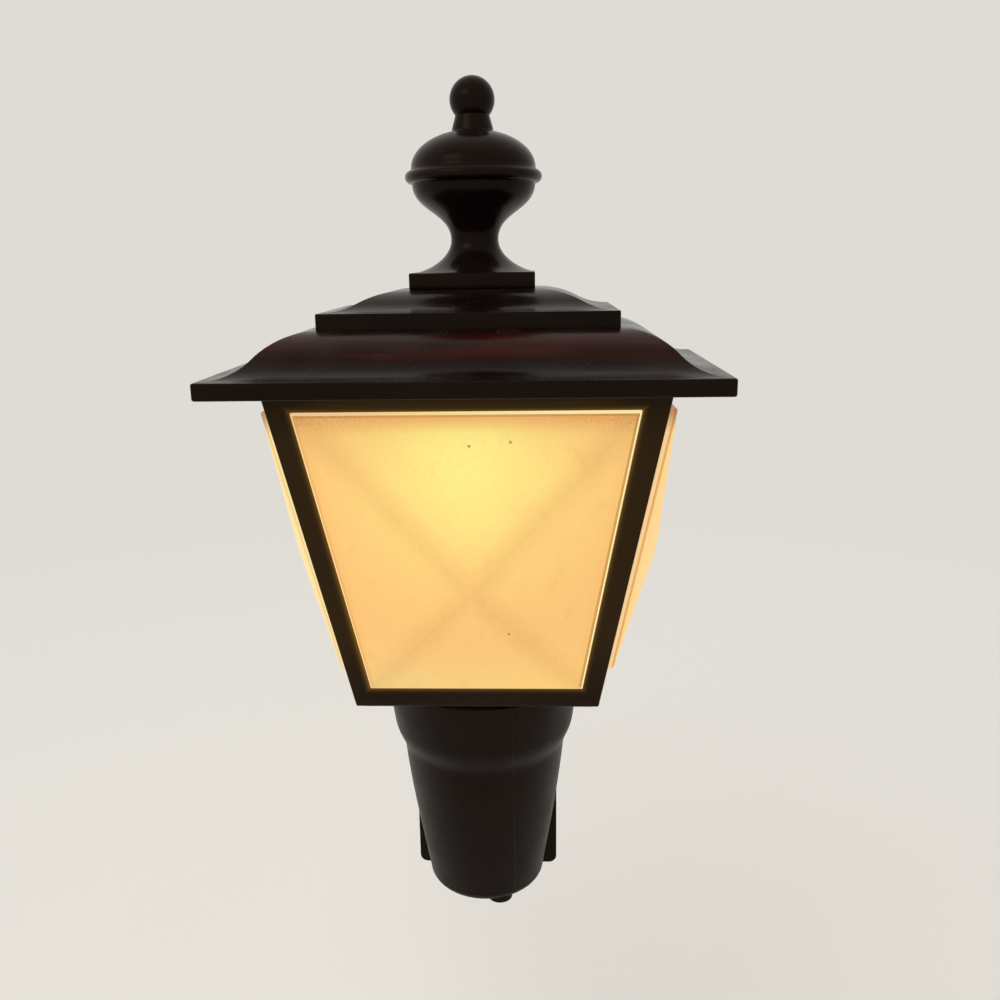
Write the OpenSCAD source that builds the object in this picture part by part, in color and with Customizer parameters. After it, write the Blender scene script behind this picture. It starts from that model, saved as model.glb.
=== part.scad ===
// Coach-lantern plug-in night light.
// A flat-backed half lantern stands on a tapered neck. A two-blade plug closes the neck's back and holds
// the lamp on the outlet. A C7 bulb on a candelabra base stands in the neck and lights a moulded shade.
// +Z is up and -Y is the front. The origin is where the plug meets the outlet, midway between the blades.

/* [Roof] */
// Width of the eave, side to side
eave_w = 58.6; // [52:0.1:66]
// Height of the eave's underside above the blades
eave_z = 65.9; // [64:0.1:72]
// Height of the eave's edge band
eave_t = 2.0; // [1.6:0.1:3]
// Level margin between the edge band and the curve
eave_flat = 0.8; // [0.3:0.1:1.6]
// Rise of the lower tier's ogee
low_rise = 4.65; // [3.5:0.05:6]
// Width of the upper tier
upper_w = 35.8; // [32:0.1:38]
// Height of the upper tier's edge band
upper_band = 1.9; // [1.4:0.1:2.6]
// Rise of the upper tier's ogee
upper_rise = 2.3; // [1.8:0.05:3]
// Wall of the roof moulding
roof_wall = 1.6; // [1.2:0.1:2]
// Gap between the lantern's flat back and the outlet
back_gap = 8.0; // [7.4:0.1:9]
// How far the flat back lies behind the finial's axis
behind_axis = 3.1; // [2.8:0.1:4]

/* [Finial] */
// Side of the square plinth
plinth_w = 15.9; // [15.7:0.1:17]
// Height of the plinth
plinth_h = 2.03; // [1.5:0.01:3]
// Radius of the foot of the stem
foot_r = 7.6; // [6.5:0.1:7.8]
// Narrowest radius of the stem
stem_r = 3.12; // [2.8:0.02:3.6]
// Height of the stem's waist above the plinth
stem_h = 4.1; // [3.5:0.1:5]
// Radius of the urn under its rim
urn_r = 8.1; // [7.4:0.1:8.6]
// Height of the rim's underside above the plinth
urn_h = 11.4; // [10.8:0.1:12.5]
// Radius of the rim's rounded edge
rim_edge_r = 0.82; // [0.6:0.02:1]
// Height of the dome above the rim
dome_h = 4.75; // [4:0.05:5.6]
// Radius of the collar under the ball
collar_r = 2.7; // [2.4:0.05:2.9]
// Radius of the waist under the ball
ball_neck_r = 2.2; // [1.8:0.05:2.3]
// Radius of the ball
ball_r = 2.9; // [2.5:0.05:3.3]
// Length of the collar below the ball
collar_h = 1.95; // [1.2:0.05:2.4]
// Wall left where the urn is cored out from behind
urn_wall = 1.8; // [1.4:0.1:2.4]
// Radius of the peg that holds the finial on the roof
peg_r = 1.6; // [1.2:0.1:1.8]

/* [Lantern] */
// Width of the lantern at its foot
foot_w = 31.6; // [31:0.1:33]
// Width of the lantern under the eave
head_w = 46.8; // [44:0.1:49]
// Height of the lantern's foot above the blades
foot_z = 23.15; // [22.6:0.05:24]
// Depth of the front frame, front to back
frame_t = 2.0; // [1.6:0.1:2.6]
// Height of the frame's bottom bar
bar_low = 2.85; // [2.4:0.05:3.4]
// Height of the frame's top bar
bar_high = 2.3; // [2:0.05:3]
// Width of the side bars at the foot of the window
bar_side_low = 2.4; // [2:0.05:3]
// Width of the side bars at the head of the window
bar_side_high = 2.85; // [2.4:0.05:3.4]

/* [Shade] */
// Wall of the shade
shade_wall = 1.2; // [1:0.1:1.5]
// How far the shade's sides lie inside the frame's edges
shade_inset = 0.3; // [0.1:0.1:0.6]
// How far the front pane's border stands proud of the frame
front_proud = 0.45; // [0.2:0.05:1]
// How far the side panes' lower borders stand proud of the frame's edges
side_proud_low = 0.6; // [0.3:0.05:1.2]
// How far the side panes' upper borders stand proud of the frame's edges
side_proud_high = 1.05; // [0.6:0.05:1.6]
// How far the front pane's peak stands proud of the frame
front_peak = 3.95; // [3:0.05:5]
// How far the side panes' peaks stand proud of the frame's edges
side_peak = 4.5; // [3:0.05:5.5]
// Share of a side pane's depth that lies in front of its peak
side_peak_share = 0.33; // [0.25:0.01:0.5]
// Slope of the border's edge, across the pane
pane_bevel = 0.3; // [0.1:0.05:0.6]
// Clearance between the front pane and the window
pane_clear = 0.1; // [0.05:0.05:0.3]
// Height of the side panes' lower edge above the lantern's foot
side_low = 4.7; // [4:0.1:7]
// Depth of the side panes' upper edge under the eave
side_high = 2.6; // [2:0.1:5]
// Distance of the side panes' front edge behind the frame's face
side_front = 3.9; // [3.4:0.1:5]
// Distance of the side panes' rear edge from the flat back
side_back = 2.5; // [1.5:0.1:5]

/* [Neck] */
// Radius of the neck where it meets the floor
neck_top_r = 14.2; // [13.6:0.1:14.6]
// Radius of the neck above the cove
neck_collar_r = 13.3; // [13:0.1:13.6]
// Radius of the neck below the cove
neck_waist_r = 11.87; // [11.6:0.01:12.4]
// Radius of the neck above its rounded bottom edge
neck_low_r = 8.75; // [8.5:0.05:9.2]
// Height of the neck's bottom above the plug block's
neck_lift = 1.1; // [0.5:0.1:1.6]
// Radius of the rounded bottom edge
neck_round = 1.8; // [1.4:0.1:2.6]
// Level of the cove's upper end
cove_top_z = 15.0; // [14.4:0.1:16]
// Level of the cove's lower end
cove_low_z = 10.4; // [9.6:0.1:11]
// Wall of the neck
neck_wall = 1.6; // [1.4:0.1:1.9]
// Thickness of the floor under the shade
floor_t = 1.4; // [1.2:0.1:1.6]

/* [Plug] */
// Width of the plug block
block_w = 21.8; // [20.6:0.1:23]
// Height of the plug block, centred on the blades
block_h = 27.2; // [26.8:0.1:30]
// Radius of the block's corners
block_round = 1.2; // [1:0.1:2.5]
// Distance between the blades, centre to centre
blade_pitch = 12.7; // [12.5:0.1:12.9]
// Width of a blade
blade_w = 6.35; // [6.1:0.05:6.6]
// Thickness of a blade
blade_t = 1.5; // [1.4:0.05:1.6]
// Length of a blade past the plug's face
blade_len = 16.0; // [15.5:0.1:18]
// Radius of the hole through each blade
blade_hole_r = 1.6; // [1.5:0.05:1.9]
// Distance of that hole from the plug's face
blade_hole_y = 11.9; // [11.5:0.1:12.2]
// Length of the bevel at a blade's tip
blade_bevel = 1.3; // [0.8:0.1:1.6]
// Thickness of the tab that a blade is bent into
tab_t = 1.0; // [0.8:0.1:1.2]
// Height of the back screw above the block's lower edge
screw_up = 5.2; // [4.8:0.1:5.6]
// Radius of the screw's shank
screw_r = 1.25; // [1.1:0.05:1.4]
// Radius of the screw's head
screw_head_r = 2.3; // [2:0.05:2.5]

/* [Socket] */
// Distance of the bulb's axis in front of the outlet
bulb_y = 13.6; // [13.4:0.1:13.8]
// Level of the insulating disc's underside above the blades
disc_z = 4.2; // [4:0.1:4.6]
// Thickness of the insulating disc
disc_t = 2.0; // [1.6:0.1:2.4]
// Radius of the insulating disc
disc_r = 7.0; // [6.9:0.05:7.1]
// Mean radius of the bulb's threaded base
thread_r = 5.72; // [5.6:0.02:5.8]
// Depth of the rolled thread, each way from the mean
thread_wave = 0.25; // [0.15:0.05:0.3]
// Pitch of the thread, 10 turns to the inch
thread_pitch = 2.54; // [2.3:0.01:2.8]
// Clearance between the bulb's base and the screw shell
thread_gap = 0.33; // [0.3:0.01:0.4]
// Thickness of the drawn brass of the screw shell
shell_t = 0.3; // [0.25:0.05:0.35]
// Height of the screw shell
shell_h = 13.4; // [12:0.1:14]
// Width of the brass straps
strap_w = 3.2; // [2.8:0.1:3.4]
// Thickness of the brass straps
strap_t = 0.5; // [0.4:0.05:0.6]

/* [Bulb] */
// Level of the bulb's tip contact above the blades
tip_z = 8.0; // [7.9:0.1:8.4]
// Overall length of the bulb
bulb_len = 54; // [52:0.5:55]
// Widest radius of the glass
glass_r = 11.0; // [10:0.1:11.2]
// Radius of the glass neck
glass_neck_r = 5.2; // [4.9:0.05:5.3]
// Wall of the glass
glass_wall = 0.6; // [0.4:0.05:0.8]

/* [Hidden] */
$fn = 64;

brown = [0.13, 0.07, 0.06];
amber = [0.98, 0.80, 0.50];
brass = [0.83, 0.66, 0.34];
nickel = [0.72, 0.71, 0.68];

// A cut runs this far past the face that it opens
over = 1;
// Small overlap that joins two shapes of one moulding
weld = 0.05;
// Clearance between pieces that are slipped together
slip = 0.1;
// Segments in each arc of a moulding's profile
arc_steps = 9;

back_y = -back_gap;
axis_y = back_y - behind_axis;
eave_front = axis_y - eave_w / 2;
low_top_z = eave_z + eave_t + low_rise;
upper_base_z = low_top_z + upper_band;
roof_top_z = upper_base_z + upper_rise;
upper_setback = (eave_w - upper_w) / 2;
plinth_top_z = roof_top_z + plinth_h;

// Point at parameter t of a cubic curve through four control points
function bezier_point(p, t) = pow(1 - t, 3) * p[0] + 3 * t * pow(1 - t, 2) * p[1]
    + 3 * t * t * (1 - t) * p[2] + pow(t, 3) * p[3];
function bezier(p, steps = arc_steps) = [for (i = [0 : steps]) bezier_point(p, i / steps)];

// Arc about a centre, from one angle to another
function arc(centre, r, a0, a1, steps = arc_steps) =
    [for (i = [0 : steps]) let (a = a0 + (a1 - a0) * i / steps) centre + r * [cos(a), sin(a)]];

// An ogee of two arcs, hollow below and round above. It climbs rise over run, and inside lies that
// far under it, for the moulding's inner face. Its points are [distance from the edge, height].
function ogee(start, run, rise, inside) =
    let (bend = 2 * atan2(rise, run), sum = run / sin(bend), hollow = sum * 0.42, round = sum - hollow)
    concat(
        [for (i = [0 : arc_steps]) let (a = bend * i / arc_steps)
            start + [(hollow + inside) * sin(a), hollow - (hollow + inside) * cos(a)]],
        [for (i = [arc_steps - 1 : -1 : 0]) let (a = bend * i / arc_steps)
            start + [run - (round - inside) * sin(a), rise - round + (round - inside) * cos(a)]]);

// The roof's section from the eave inwards, or the face that lies inside under it
function roof_section(inside) =
    let (
        low = ogee([eave_flat, eave_z + eave_t], upper_setback - eave_flat, low_rise, inside),
        flat = eave_flat / 2,
        run = (upper_w - plinth_w) / 2 - 2 * flat,
        high = ogee([upper_setback + flat, upper_base_z], run, upper_rise, inside))
    concat([[inside, eave_z - (inside > 0 ? over : 0)], [inside, eave_z + eave_t - inside]], low,
        [[upper_setback + inside, low_top_z - inside], [upper_setback + inside, upper_base_z - inside]],
        [for (p = high) if (p[0] > upper_setback + inside) p]);

module along_y(y0, y1) {
    translate([0, y1, 0]) rotate([90, 0, 0]) linear_extrude(y1 - y0) children();
}

module along_x(x0, x1) {
    translate([x0, 0, 0]) rotate([90, 0, 90]) linear_extrude(x1 - x0) children();
}

// The hipped form: one section mirrored across the width, and the same section from the front
module hipped(inside, rear) {
    section = roof_section(inside);
    last = len(section) - 1;
    intersection() {
        along_y(eave_front, rear)
            polygon(concat([for (p = section) [p[0] - eave_w / 2, p[1]]],
                [for (i = [last : -1 : 0]) [eave_w / 2 - section[i][0], section[i][1]]]));
        along_x(-eave_w / 2, eave_w / 2)
            polygon(concat([for (p = section) [eave_front + p[0], p[1]]],
                [[rear, section[last][1]], [rear, section[0][1]]]));
    }
}

// Half the lantern's width at height z, measured on the frame's edges
function half_w(z) = (foot_w + (head_w - foot_w) * (z - foot_z) / (eave_z - foot_z)) / 2;
// The frame's front face at height z
function front_y(z) = axis_y - half_w(z);

// The lantern's tapered body, drawn in by side on both sides and by front at the front
module taper(side, front, z0, z1, rear) {
    intersection() {
        along_y(eave_front, rear)
            polygon([[-half_w(z0) + side, z0], [half_w(z0) - side, z0],
                [half_w(z1) - side, z1], [-half_w(z1) + side, z1]]);
        along_x(-eave_w, eave_w)
            polygon([[front_y(z0) + front, z0], [front_y(z1) + front, z1], [rear, z1], [rear, z0]]);
    }
}

// Peaks a rectangle of four border corners to one point, over a base of four corners. Corners go
// round: low near, low far, high far, high near.
module peaked(base, border, peak) {
    points = concat(base, border, [peak]);
    polyhedron(points, [[0, 1, 2, 3], [4, 5, 1, 0], [5, 6, 2, 1], [6, 7, 3, 2], [7, 4, 0, 3],
        [8, 5, 4], [8, 6, 5], [8, 7, 6], [8, 4, 7]]);
}

module roof() {
    soffit_x = half_w(eave_z) - shade_inset - shade_wall - 2 * slip;
    soffit_y = front_y(eave_z) + frame_t + shade_wall + 2 * slip;
    color(brown) difference() {
        hipped(0, back_y);
        intersection() {
            hipped(roof_wall, back_y + over);
            translate([-soffit_x, soffit_y, eave_z - over])
                cube([2 * soffit_x, back_y + over - soffit_y, roof_top_z - eave_z]);
        }
        translate([0, axis_y, roof_top_z - roof_wall - over]) cylinder(r = peg_r, h = roof_wall + 2 * over);
    }
}

// The urn's section as [radius, height above the plinth]
function dome_point(a) = [urn_r * cos(a), urn_h + 2 * rim_edge_r + dome_h * sin(a)];
dome_end = acos(collar_r / urn_r);
waist_h = dome_point(dome_end)[1] + collar_h;
ball_h = waist_h + sqrt(ball_r * ball_r - ball_neck_r * ball_neck_r);
function urn_bowl() = bezier([[stem_r, stem_h], [stem_r, stem_h + 3.5], [urn_r - 0.2, stem_h + 3.5],
    [urn_r - 0.05, urn_h]]);
function urn_dome() = [for (i = [0 : arc_steps]) dome_point(dome_end * i / arc_steps)];
function finial_section() = concat(
    [[0, -weld], [foot_r, -weld]],
    bezier([[foot_r, 0], [foot_r - 2.4, 0.6], [stem_r, stem_h - 1.8], [stem_r, stem_h]]),
    urn_bowl(),
    arc([urn_r, urn_h + rim_edge_r], rim_edge_r, -80, 80),
    urn_dome(),
    [[collar_r - 0.05, waist_h - 0.8 * collar_h], [ball_neck_r, waist_h]],
    arc([0, ball_h], ball_r, asin((waist_h - ball_h) / ball_r) + 2, 90),
    [[0, ball_h + ball_r]]);

module finial() {
    // The core keeps a wall under the bowl and the dome, and opens at the flat back
    core = concat(
        [[0, stem_h + 4.2]],
        [for (p = urn_bowl()) if (p[1] > stem_h + 3.6) [p[0] - urn_wall, p[1] + 0.6]],
        [for (p = urn_dome()) if (p[0] > behind_axis + 1.2) [p[0] - urn_wall, p[1] - urn_wall / 2]],
        [[0, dome_point(dome_end)[1] - urn_wall]]);
    color(brown) {
        difference() {
            translate([0, axis_y, plinth_top_z]) rotate_extrude() polygon(finial_section());
            translate([0, axis_y, plinth_top_z]) rotate_extrude() polygon(core);
            translate([-eave_w / 2, back_y, plinth_top_z - over]) cube([eave_w, eave_w, eave_w]);
        }
        translate([-plinth_w / 2, axis_y - plinth_w / 2, roof_top_z])
            cube([plinth_w, plinth_w / 2 + behind_axis, plinth_h]);
        translate([0, axis_y, roof_top_z - roof_wall]) cylinder(r = peg_r, h = roof_wall + weld);
    }
}

win_low_z = foot_z + bar_low;
win_high_z = eave_z - bar_high;
// Half the window's width at height z
function win_half(z) = let (k = (z - win_low_z) / (win_high_z - win_low_z))
    (half_w(win_low_z) - bar_side_low) * (1 - k) + (half_w(win_high_z) - bar_side_high) * k;

module front_frame() {
    color(brown) intersection() {
        along_y(eave_front, back_y) difference() {
            polygon([[-half_w(foot_z), foot_z], [half_w(foot_z), foot_z],
                [half_w(eave_z), eave_z], [-half_w(eave_z), eave_z]]);
            polygon([[-win_half(win_low_z), win_low_z], [win_half(win_low_z), win_low_z],
                [win_half(win_high_z), win_high_z], [-win_half(win_high_z), win_high_z]]);
        }
        along_x(-eave_w, eave_w)
            polygon([[front_y(foot_z), foot_z], [front_y(eave_z), eave_z],
                [front_y(eave_z) + frame_t, eave_z], [front_y(foot_z) + frame_t, foot_z]]);
    }
}

// Where the diagonals of a pane cross, as a share of its height, from its widths below and above
function cross_share(low, high) = low / (low + high);

// The front pane, or its hollow when inside is the wall
module front_pane(inside) {
    gap = pane_clear + inside;
    z0 = win_low_z + gap;
    z1 = win_high_z - gap;
    share = cross_share(win_half(win_low_z), win_half(win_high_z));
    peak_z = win_low_z + share * (win_high_z - win_low_z);
    b0 = z0 + pane_bevel;
    b1 = z1 - pane_bevel;
    base = frame_t + shade_wall / 2 + (inside > 0 ? shade_wall : 0);
    x0 = win_half(z0) - gap;
    x1 = win_half(z1) - gap;
    rise = inside - front_proud;
    peaked([[-x0, front_y(z0) + base, z0], [x0, front_y(z0) + base, z0],
            [x1, front_y(z1) + base, z1], [-x1, front_y(z1) + base, z1]],
        [[pane_bevel - x0, front_y(b0) + rise, b0], [x0 - pane_bevel, front_y(b0) + rise, b0],
            [x1 - pane_bevel, front_y(b1) + rise, b1], [pane_bevel - x1, front_y(b1) + rise, b1]],
        [0, front_y(peak_z) - front_peak + inside, peak_z]);
}

// The right-hand side pane, or its hollow when inside is the wall
module side_pane(inside) {
    z0 = foot_z + side_low + inside;
    z1 = eave_z - side_high - inside;
    near0 = front_y(z0) + side_front + inside;
    near1 = front_y(z1) + side_front + inside;
    far = back_y - side_back - inside;
    share = cross_share(far - near0, far - near1);
    peak_z = z0 + share * (z1 - z0);
    near = near0 + share * (near1 - near0);
    peak_y = near + side_peak_share * (far - near);
    base = -shade_inset - shade_wall / 2 - (inside > 0 ? shade_wall : 0);
    rise0 = side_proud_low - inside;
    rise1 = side_proud_high - inside;
    o = pane_bevel;
    peaked([[half_w(z0 - o) + base, near0 - o, z0 - o], [half_w(z0 - o) + base, far + o, z0 - o],
            [half_w(z1 + o) + base, far + o, z1 + o], [half_w(z1 + o) + base, near1 - o, z1 + o]],
        [[half_w(z0) + rise0, near0, z0], [half_w(z0) + rise0, far, z0],
            [half_w(z1) + rise1, far, z1], [half_w(z1) + rise1, near1, z1]],
        [half_w(peak_z) + side_peak - inside, peak_y, peak_z]);
}

module shade() {
    color(amber) difference() {
        union() {
            taper(shade_inset, frame_t + slip / 2, foot_z, eave_z, back_y);
            front_pane(0);
            side_pane(0);
            mirror([1, 0, 0]) side_pane(0);
        }
        taper(shade_inset + shade_wall, frame_t + slip / 2 + shade_wall, foot_z - over, eave_z + over,
            back_y + over);
        front_pane(shade_wall);
        side_pane(shade_wall);
        mirror([1, 0, 0]) side_pane(shade_wall);
    }
}

floor_z = foot_z - floor_t;
bottom_z = neck_lift - block_h / 2;
socket_y = -bulb_y;
well_r = disc_r + 3 * slip;
hump_r = well_r + neck_wall;
// The neck's section as [radius, height], drawn in by inside
function neck_section(inside) = concat(
    [[0, bottom_z + inside]],
    arc([neck_low_r - neck_round - inside, bottom_z + neck_round + inside], neck_round, -90, 0),
    bezier([[neck_low_r + 0.08 - inside, bottom_z + neck_round + inside + 0.4],
        [neck_low_r + 1.25 - inside, bottom_z + neck_round + 7.5],
        [neck_waist_r - 0.65 - inside, cove_low_z - 7], [neck_waist_r - inside, cove_low_z]]),
    bezier([[neck_waist_r + 0.02 - inside, cove_low_z + 0.1], [neck_waist_r + 0.15 - inside, cove_low_z + 1.5],
        [neck_collar_r - 0.2 - inside, cove_top_z - 2.1], [neck_collar_r - inside, cove_top_z]]),
    [[neck_top_r - inside, floor_z + weld], [0, floor_z + weld]]);

module neck_form(inside) {
    translate([0, axis_y, 0]) rotate_extrude() polygon(neck_section(inside));
}

screw_drop = block_h / 2 - screw_up;
boss_r = screw_r + 1.3;
pilot_len = 9;

module neck_housing() {
    floor_front = front_y(foot_z) + frame_t + 0.9;
    rib_t = 1.4;
    pad_r = 1.85;
    pad_drop = 0.5;
    pad_reach = neck_low_r - neck_round - 1.05;
    color(brown) difference() {
        union() {
            difference() {
                neck_form(0);
                neck_form(neck_wall);
            }
            // Screw boss, from the front wall to the plug
            intersection() {
                neck_form(0);
                translate([0, back_y, -screw_drop]) rotate([90, 0, 0]) cylinder(r = boss_r, h = eave_w);
            }
            // Ribs under the insulating disc, at the front and at both sides
            intersection() {
                neck_form(0);
                difference() {
                    translate([-eave_w / 2, -eave_w, -screw_drop])
                        cube([eave_w, eave_w, disc_z + screw_drop]);
                    translate([0, socket_y, -screw_drop - over])
                        cylinder(r = disc_r - 1.1, h = disc_z + screw_drop + 2 * over);
                }
                union() {
                    translate([-rib_t / 2, -eave_w, bottom_z]) cube([rib_t, eave_w + socket_y, eave_w]);
                    translate([-eave_w / 2, socket_y - rib_t / 2, bottom_z]) cube([eave_w, rib_t, eave_w]);
                }
            }
            // Floor that carries the shade
            translate([-half_w(foot_z) + shade_inset, floor_front, floor_z])
                cube([2 * (half_w(foot_z) - shade_inset), back_y - floor_front, floor_t]);
            // Round pad under the bottom
            translate([1.2 * pad_r, axis_y - pad_reach, bottom_z - pad_drop])
                cylinder(r = pad_r, h = pad_drop + neck_round / 2);
        }
        translate([-eave_w, back_y, -eave_w]) cube([2 * eave_w, eave_w, 2 * eave_w]);
        translate([0, socket_y, floor_z - over]) cylinder(r = well_r, h = floor_t + 2 * over);
        translate([0, back_y + over, -screw_drop]) rotate([90, 0, 0])
            cylinder(r = screw_r, h = pilot_len + over);
        hump(slip);
    }
}

plate_t = 1.6;
plate_low_z = block_h / 2 - 3;

// The round hump that closes the neck behind the socket, grown by gap
module hump(gap) {
    intersection() {
        translate([0, socket_y, disc_z]) cylinder(r = hump_r + gap, h = foot_z - disc_z + over * gap);
        translate([-eave_w / 2, back_y - plate_t - gap, disc_z]) cube([eave_w, eave_w, eave_w]);
    }
}

module rounded_rect(w, h, r) {
    square([w - 2 * r, h], center = true);
    square([w, h - 2 * r], center = true);
    for (sx = [-1, 1], sz = [-1, 1]) translate([sx * (w / 2 - r), sz * (h / 2 - r)]) circle(r = r);
}

head_depth = 2.2;

module plug_body() {
    color(brown) difference() {
        union() {
            along_y(back_y, 0) rounded_rect(block_w, block_h, block_round);
            hump(0);
            // Plate inside the neck's open back
            intersection() {
                neck_form(neck_wall + slip);
                translate([-eave_w / 2, back_y - plate_t, plate_low_z])
                    cube([eave_w, plate_t + weld, floor_z - slip - plate_low_z]);
            }
        }
        translate([0, socket_y, disc_z]) cylinder(r = well_r, h = foot_z);
        for (side = [-1, 1]) translate([side * blade_pitch / 2, 0, 0])
            cube([blade_t + 2 * weld, 3 * back_gap, blade_w + 2 * weld], center = true);
        for (side = [-1, 1]) translate([side * strap_x, back_y + rivet_head_t, 0])
            rotate([90, 0, 0]) cylinder(r = rivet_head_r + slip, h = rivet_head_t + over);
        translate([0, over, -screw_drop]) rotate([90, 0, 0]) {
            cylinder(r = screw_head_r + 3 * slip, h = head_depth + over);
            cylinder(r = screw_r + slip, h = back_gap + 2 * over);
        }
    }
}

module cover_screw() {
    head_t = 1.5;
    color(nickel) translate([0, -head_depth, -screw_drop]) rotate([90, 0, 0]) {
        difference() {
            translate([0, 0, -head_t]) cylinder(r1 = screw_head_r - 0.4, r2 = screw_head_r, h = head_t);
            translate([-screw_head_r, -0.35, -head_t - over]) cube([2 * screw_head_r, 0.7, over + 0.7]);
        }
        cylinder(r = screw_r, h = back_gap - head_depth + pilot_len - 2);
        translate([0, 0, back_gap - head_depth + pilot_len - 2]) cylinder(r1 = screw_r, r2 = 0.4, h = 1.4);
    }
}

strap_x = 4.0;
tab_end = 2.2;
rivet_r = 0.8;
rivet_head_r = 1.4;
rivet_head_t = 0.6;

// One blade with its tab, on the side where X is positive
module blade() {
    outer = blade_pitch / 2 + blade_t / 2;
    color(brass) difference() {
        union() {
            along_x(blade_pitch / 2 - blade_t / 2, outer)
                polygon([[back_y - tab_t, -blade_w / 2], [blade_len - blade_bevel, -blade_w / 2],
                    [blade_len, -blade_w / 2 + blade_bevel], [blade_len, blade_w / 2 - blade_bevel],
                    [blade_len - blade_bevel, blade_w / 2], [back_y - tab_t, blade_w / 2]]);
            translate([tab_end, back_y - tab_t, -blade_w / 2]) cube([outer - tab_end, tab_t, blade_w]);
        }
        translate([0, blade_hole_y, 0]) rotate([0, 90, 0]) cylinder(r = blade_hole_r, h = eave_w);
        translate([strap_x, back_y + over, 0]) rotate([90, 0, 0]) cylinder(r = rivet_r, h = tab_t + 2 * over);
    }
}

module blade_right() {
    blade();
}

module blade_left() {
    mirror([1, 0, 0]) blade();
}

module blade_rivets() {
    color(nickel) for (side = [-1, 1]) translate([side * strap_x, back_y, 0]) rotate([90, 0, 0]) {
        translate([0, 0, -rivet_head_t]) cylinder(r = rivet_head_r, h = rivet_head_t);
        translate([0, 0, -weld]) cylinder(r = rivet_r, h = tab_t + strap_t + 2 * weld);
        translate([0, 0, tab_t + strap_t]) cylinder(r1 = rivet_head_r, r2 = rivet_r, h = rivet_head_t);
    }
}

strap_y = back_y - tab_t;
shell_rivet_r = 0.6;
shell_rivet_at = [-strap_x - 0.6, socket_y + 1];

module strap_riser() {
    translate([-strap_w / 2, strap_y - strap_t, -strap_w / 2 - 1]) difference() {
        cube([strap_w, strap_t, disc_z + strap_w / 2 + 1]);
        translate([strap_w / 2, over, strap_w / 2 + 1]) rotate([90, 0, 0])
            cylinder(r = rivet_r, h = 3 * over);
    }
}

module neutral_strap() {
    reach = strap_y - shell_rivet_at[1] + strap_w / 2;
    color(brass) difference() {
        union() {
            translate([-strap_x, 0, 0]) strap_riser();
            translate([-strap_x - strap_w / 2, strap_y - reach, disc_z - strap_t])
                cube([strap_w, reach, strap_t]);
        }
        translate([shell_rivet_at[0], shell_rivet_at[1], 0]) cylinder(r = shell_rivet_r, h = disc_z + over);
    }
}

module live_strap() {
    reach = strap_y - socket_y + strap_w / 2;
    color(brass) difference() {
        union() {
            translate([strap_x, 0, 0]) strap_riser();
            translate([strap_x - strap_w / 2, strap_y - reach, disc_z - strap_t])
                cube([strap_w, reach, strap_t]);
            translate([-strap_w / 2, strap_y - reach, disc_z - strap_t])
                cube([strap_x + strap_w / 2, strap_w, strap_t]);
        }
        translate([0, socket_y, 0]) cylinder(r = rivet_r, h = disc_z + over);
    }
}

module contact_base() {
    color([0.32, 0.20, 0.12]) difference() {
        translate([0, socket_y, disc_z]) cylinder(r = disc_r, h = disc_t);
        translate([0, socket_y, disc_z - over]) cylinder(r = rivet_r, h = disc_t + 2 * over);
        translate([shell_rivet_at[0], shell_rivet_at[1], disc_z - over])
            cylinder(r = shell_rivet_r, h = disc_t + 2 * over);
    }
}

deck_z = disc_z + disc_t;
leaf_t = 0.35;

// A rivet through the strap, the disc and a sheet of thickness t on it
module disc_rivet(r, head_r, t) {
    translate([0, 0, disc_z - strap_t - 0.5]) cylinder(r = head_r, h = 0.5);
    translate([0, 0, disc_z - strap_t - weld]) cylinder(r = r, h = disc_t + strap_t + t + 2 * weld);
    translate([0, 0, deck_z + t]) cylinder(r = head_r, h = 0.4);
}

module socket_rivets() {
    color(nickel) {
        translate([0, socket_y, 0]) disc_rivet(rivet_r, 1.3, leaf_t);
        translate([shell_rivet_at[0], shell_rivet_at[1], 0]) disc_rivet(shell_rivet_r, 0.95, shell_t);
    }
}

thread_start = tip_z + 3;
// Radius of the rolled thread at height z
function thread_at(z) = thread_r + thread_wave * cos(360 * (z - thread_start) / thread_pitch);
// Points up a threaded wall, grown by extra
function thread_line(z0, z1, extra) = let (steps = ceil((z1 - z0) / thread_pitch * 6))
    [for (i = [0 : steps]) let (z = z0 + (z1 - z0) * i / steps) [thread_at(z) + extra, z]];
function reversed(list) = [for (i = [len(list) - 1 : -1 : 0]) list[i]];

module socket_shell() {
    top = deck_z + shell_h;
    inner = thread_line(deck_z + 1.5, top - 0.6, thread_gap);
    outer = thread_line(deck_z + 1.5, top - 0.6, thread_gap + shell_t);
    wall = thread_r + thread_gap;
    flange_r = 3.75;
    color(brass) difference() {
        translate([0, socket_y, 0]) rotate_extrude() polygon(concat(
            [[flange_r, deck_z], [wall + shell_t, deck_z]], outer,
            [[wall + 2.6 * shell_t, top - 0.2], [wall + 2.6 * shell_t, top], [wall + 0.2, top]],
            reversed(inner), [[wall, deck_z + shell_t], [flange_r, deck_z + shell_t]]));
        translate([shell_rivet_at[0], shell_rivet_at[1], deck_z - over])
            cylinder(r = shell_rivet_r, h = 2 * over);
    }
}

module centre_contact() {
    leaf_w = 3.0;
    top = tip_z - 0.3;
    bend = (top - deck_z) / 2;
    foot = 2.4;
    color(brass) difference() {
        translate([0, socket_y, 0]) along_y(-leaf_w / 2, leaf_w / 2) polygon(concat(
            [[-foot, deck_z], [foot - bend, deck_z]],
            arc([foot - bend, deck_z + bend], bend, -90, 90),
            [[-1.3, top], [-1.3, top - leaf_t]],
            arc([foot - bend, deck_z + bend], bend - leaf_t, 90, -90),
            [[-foot, deck_z + leaf_t]]));
        translate([0, socket_y, deck_z - over]) cylinder(r = rivet_r, h = over + leaf_t + weld);
    }
}

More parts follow.
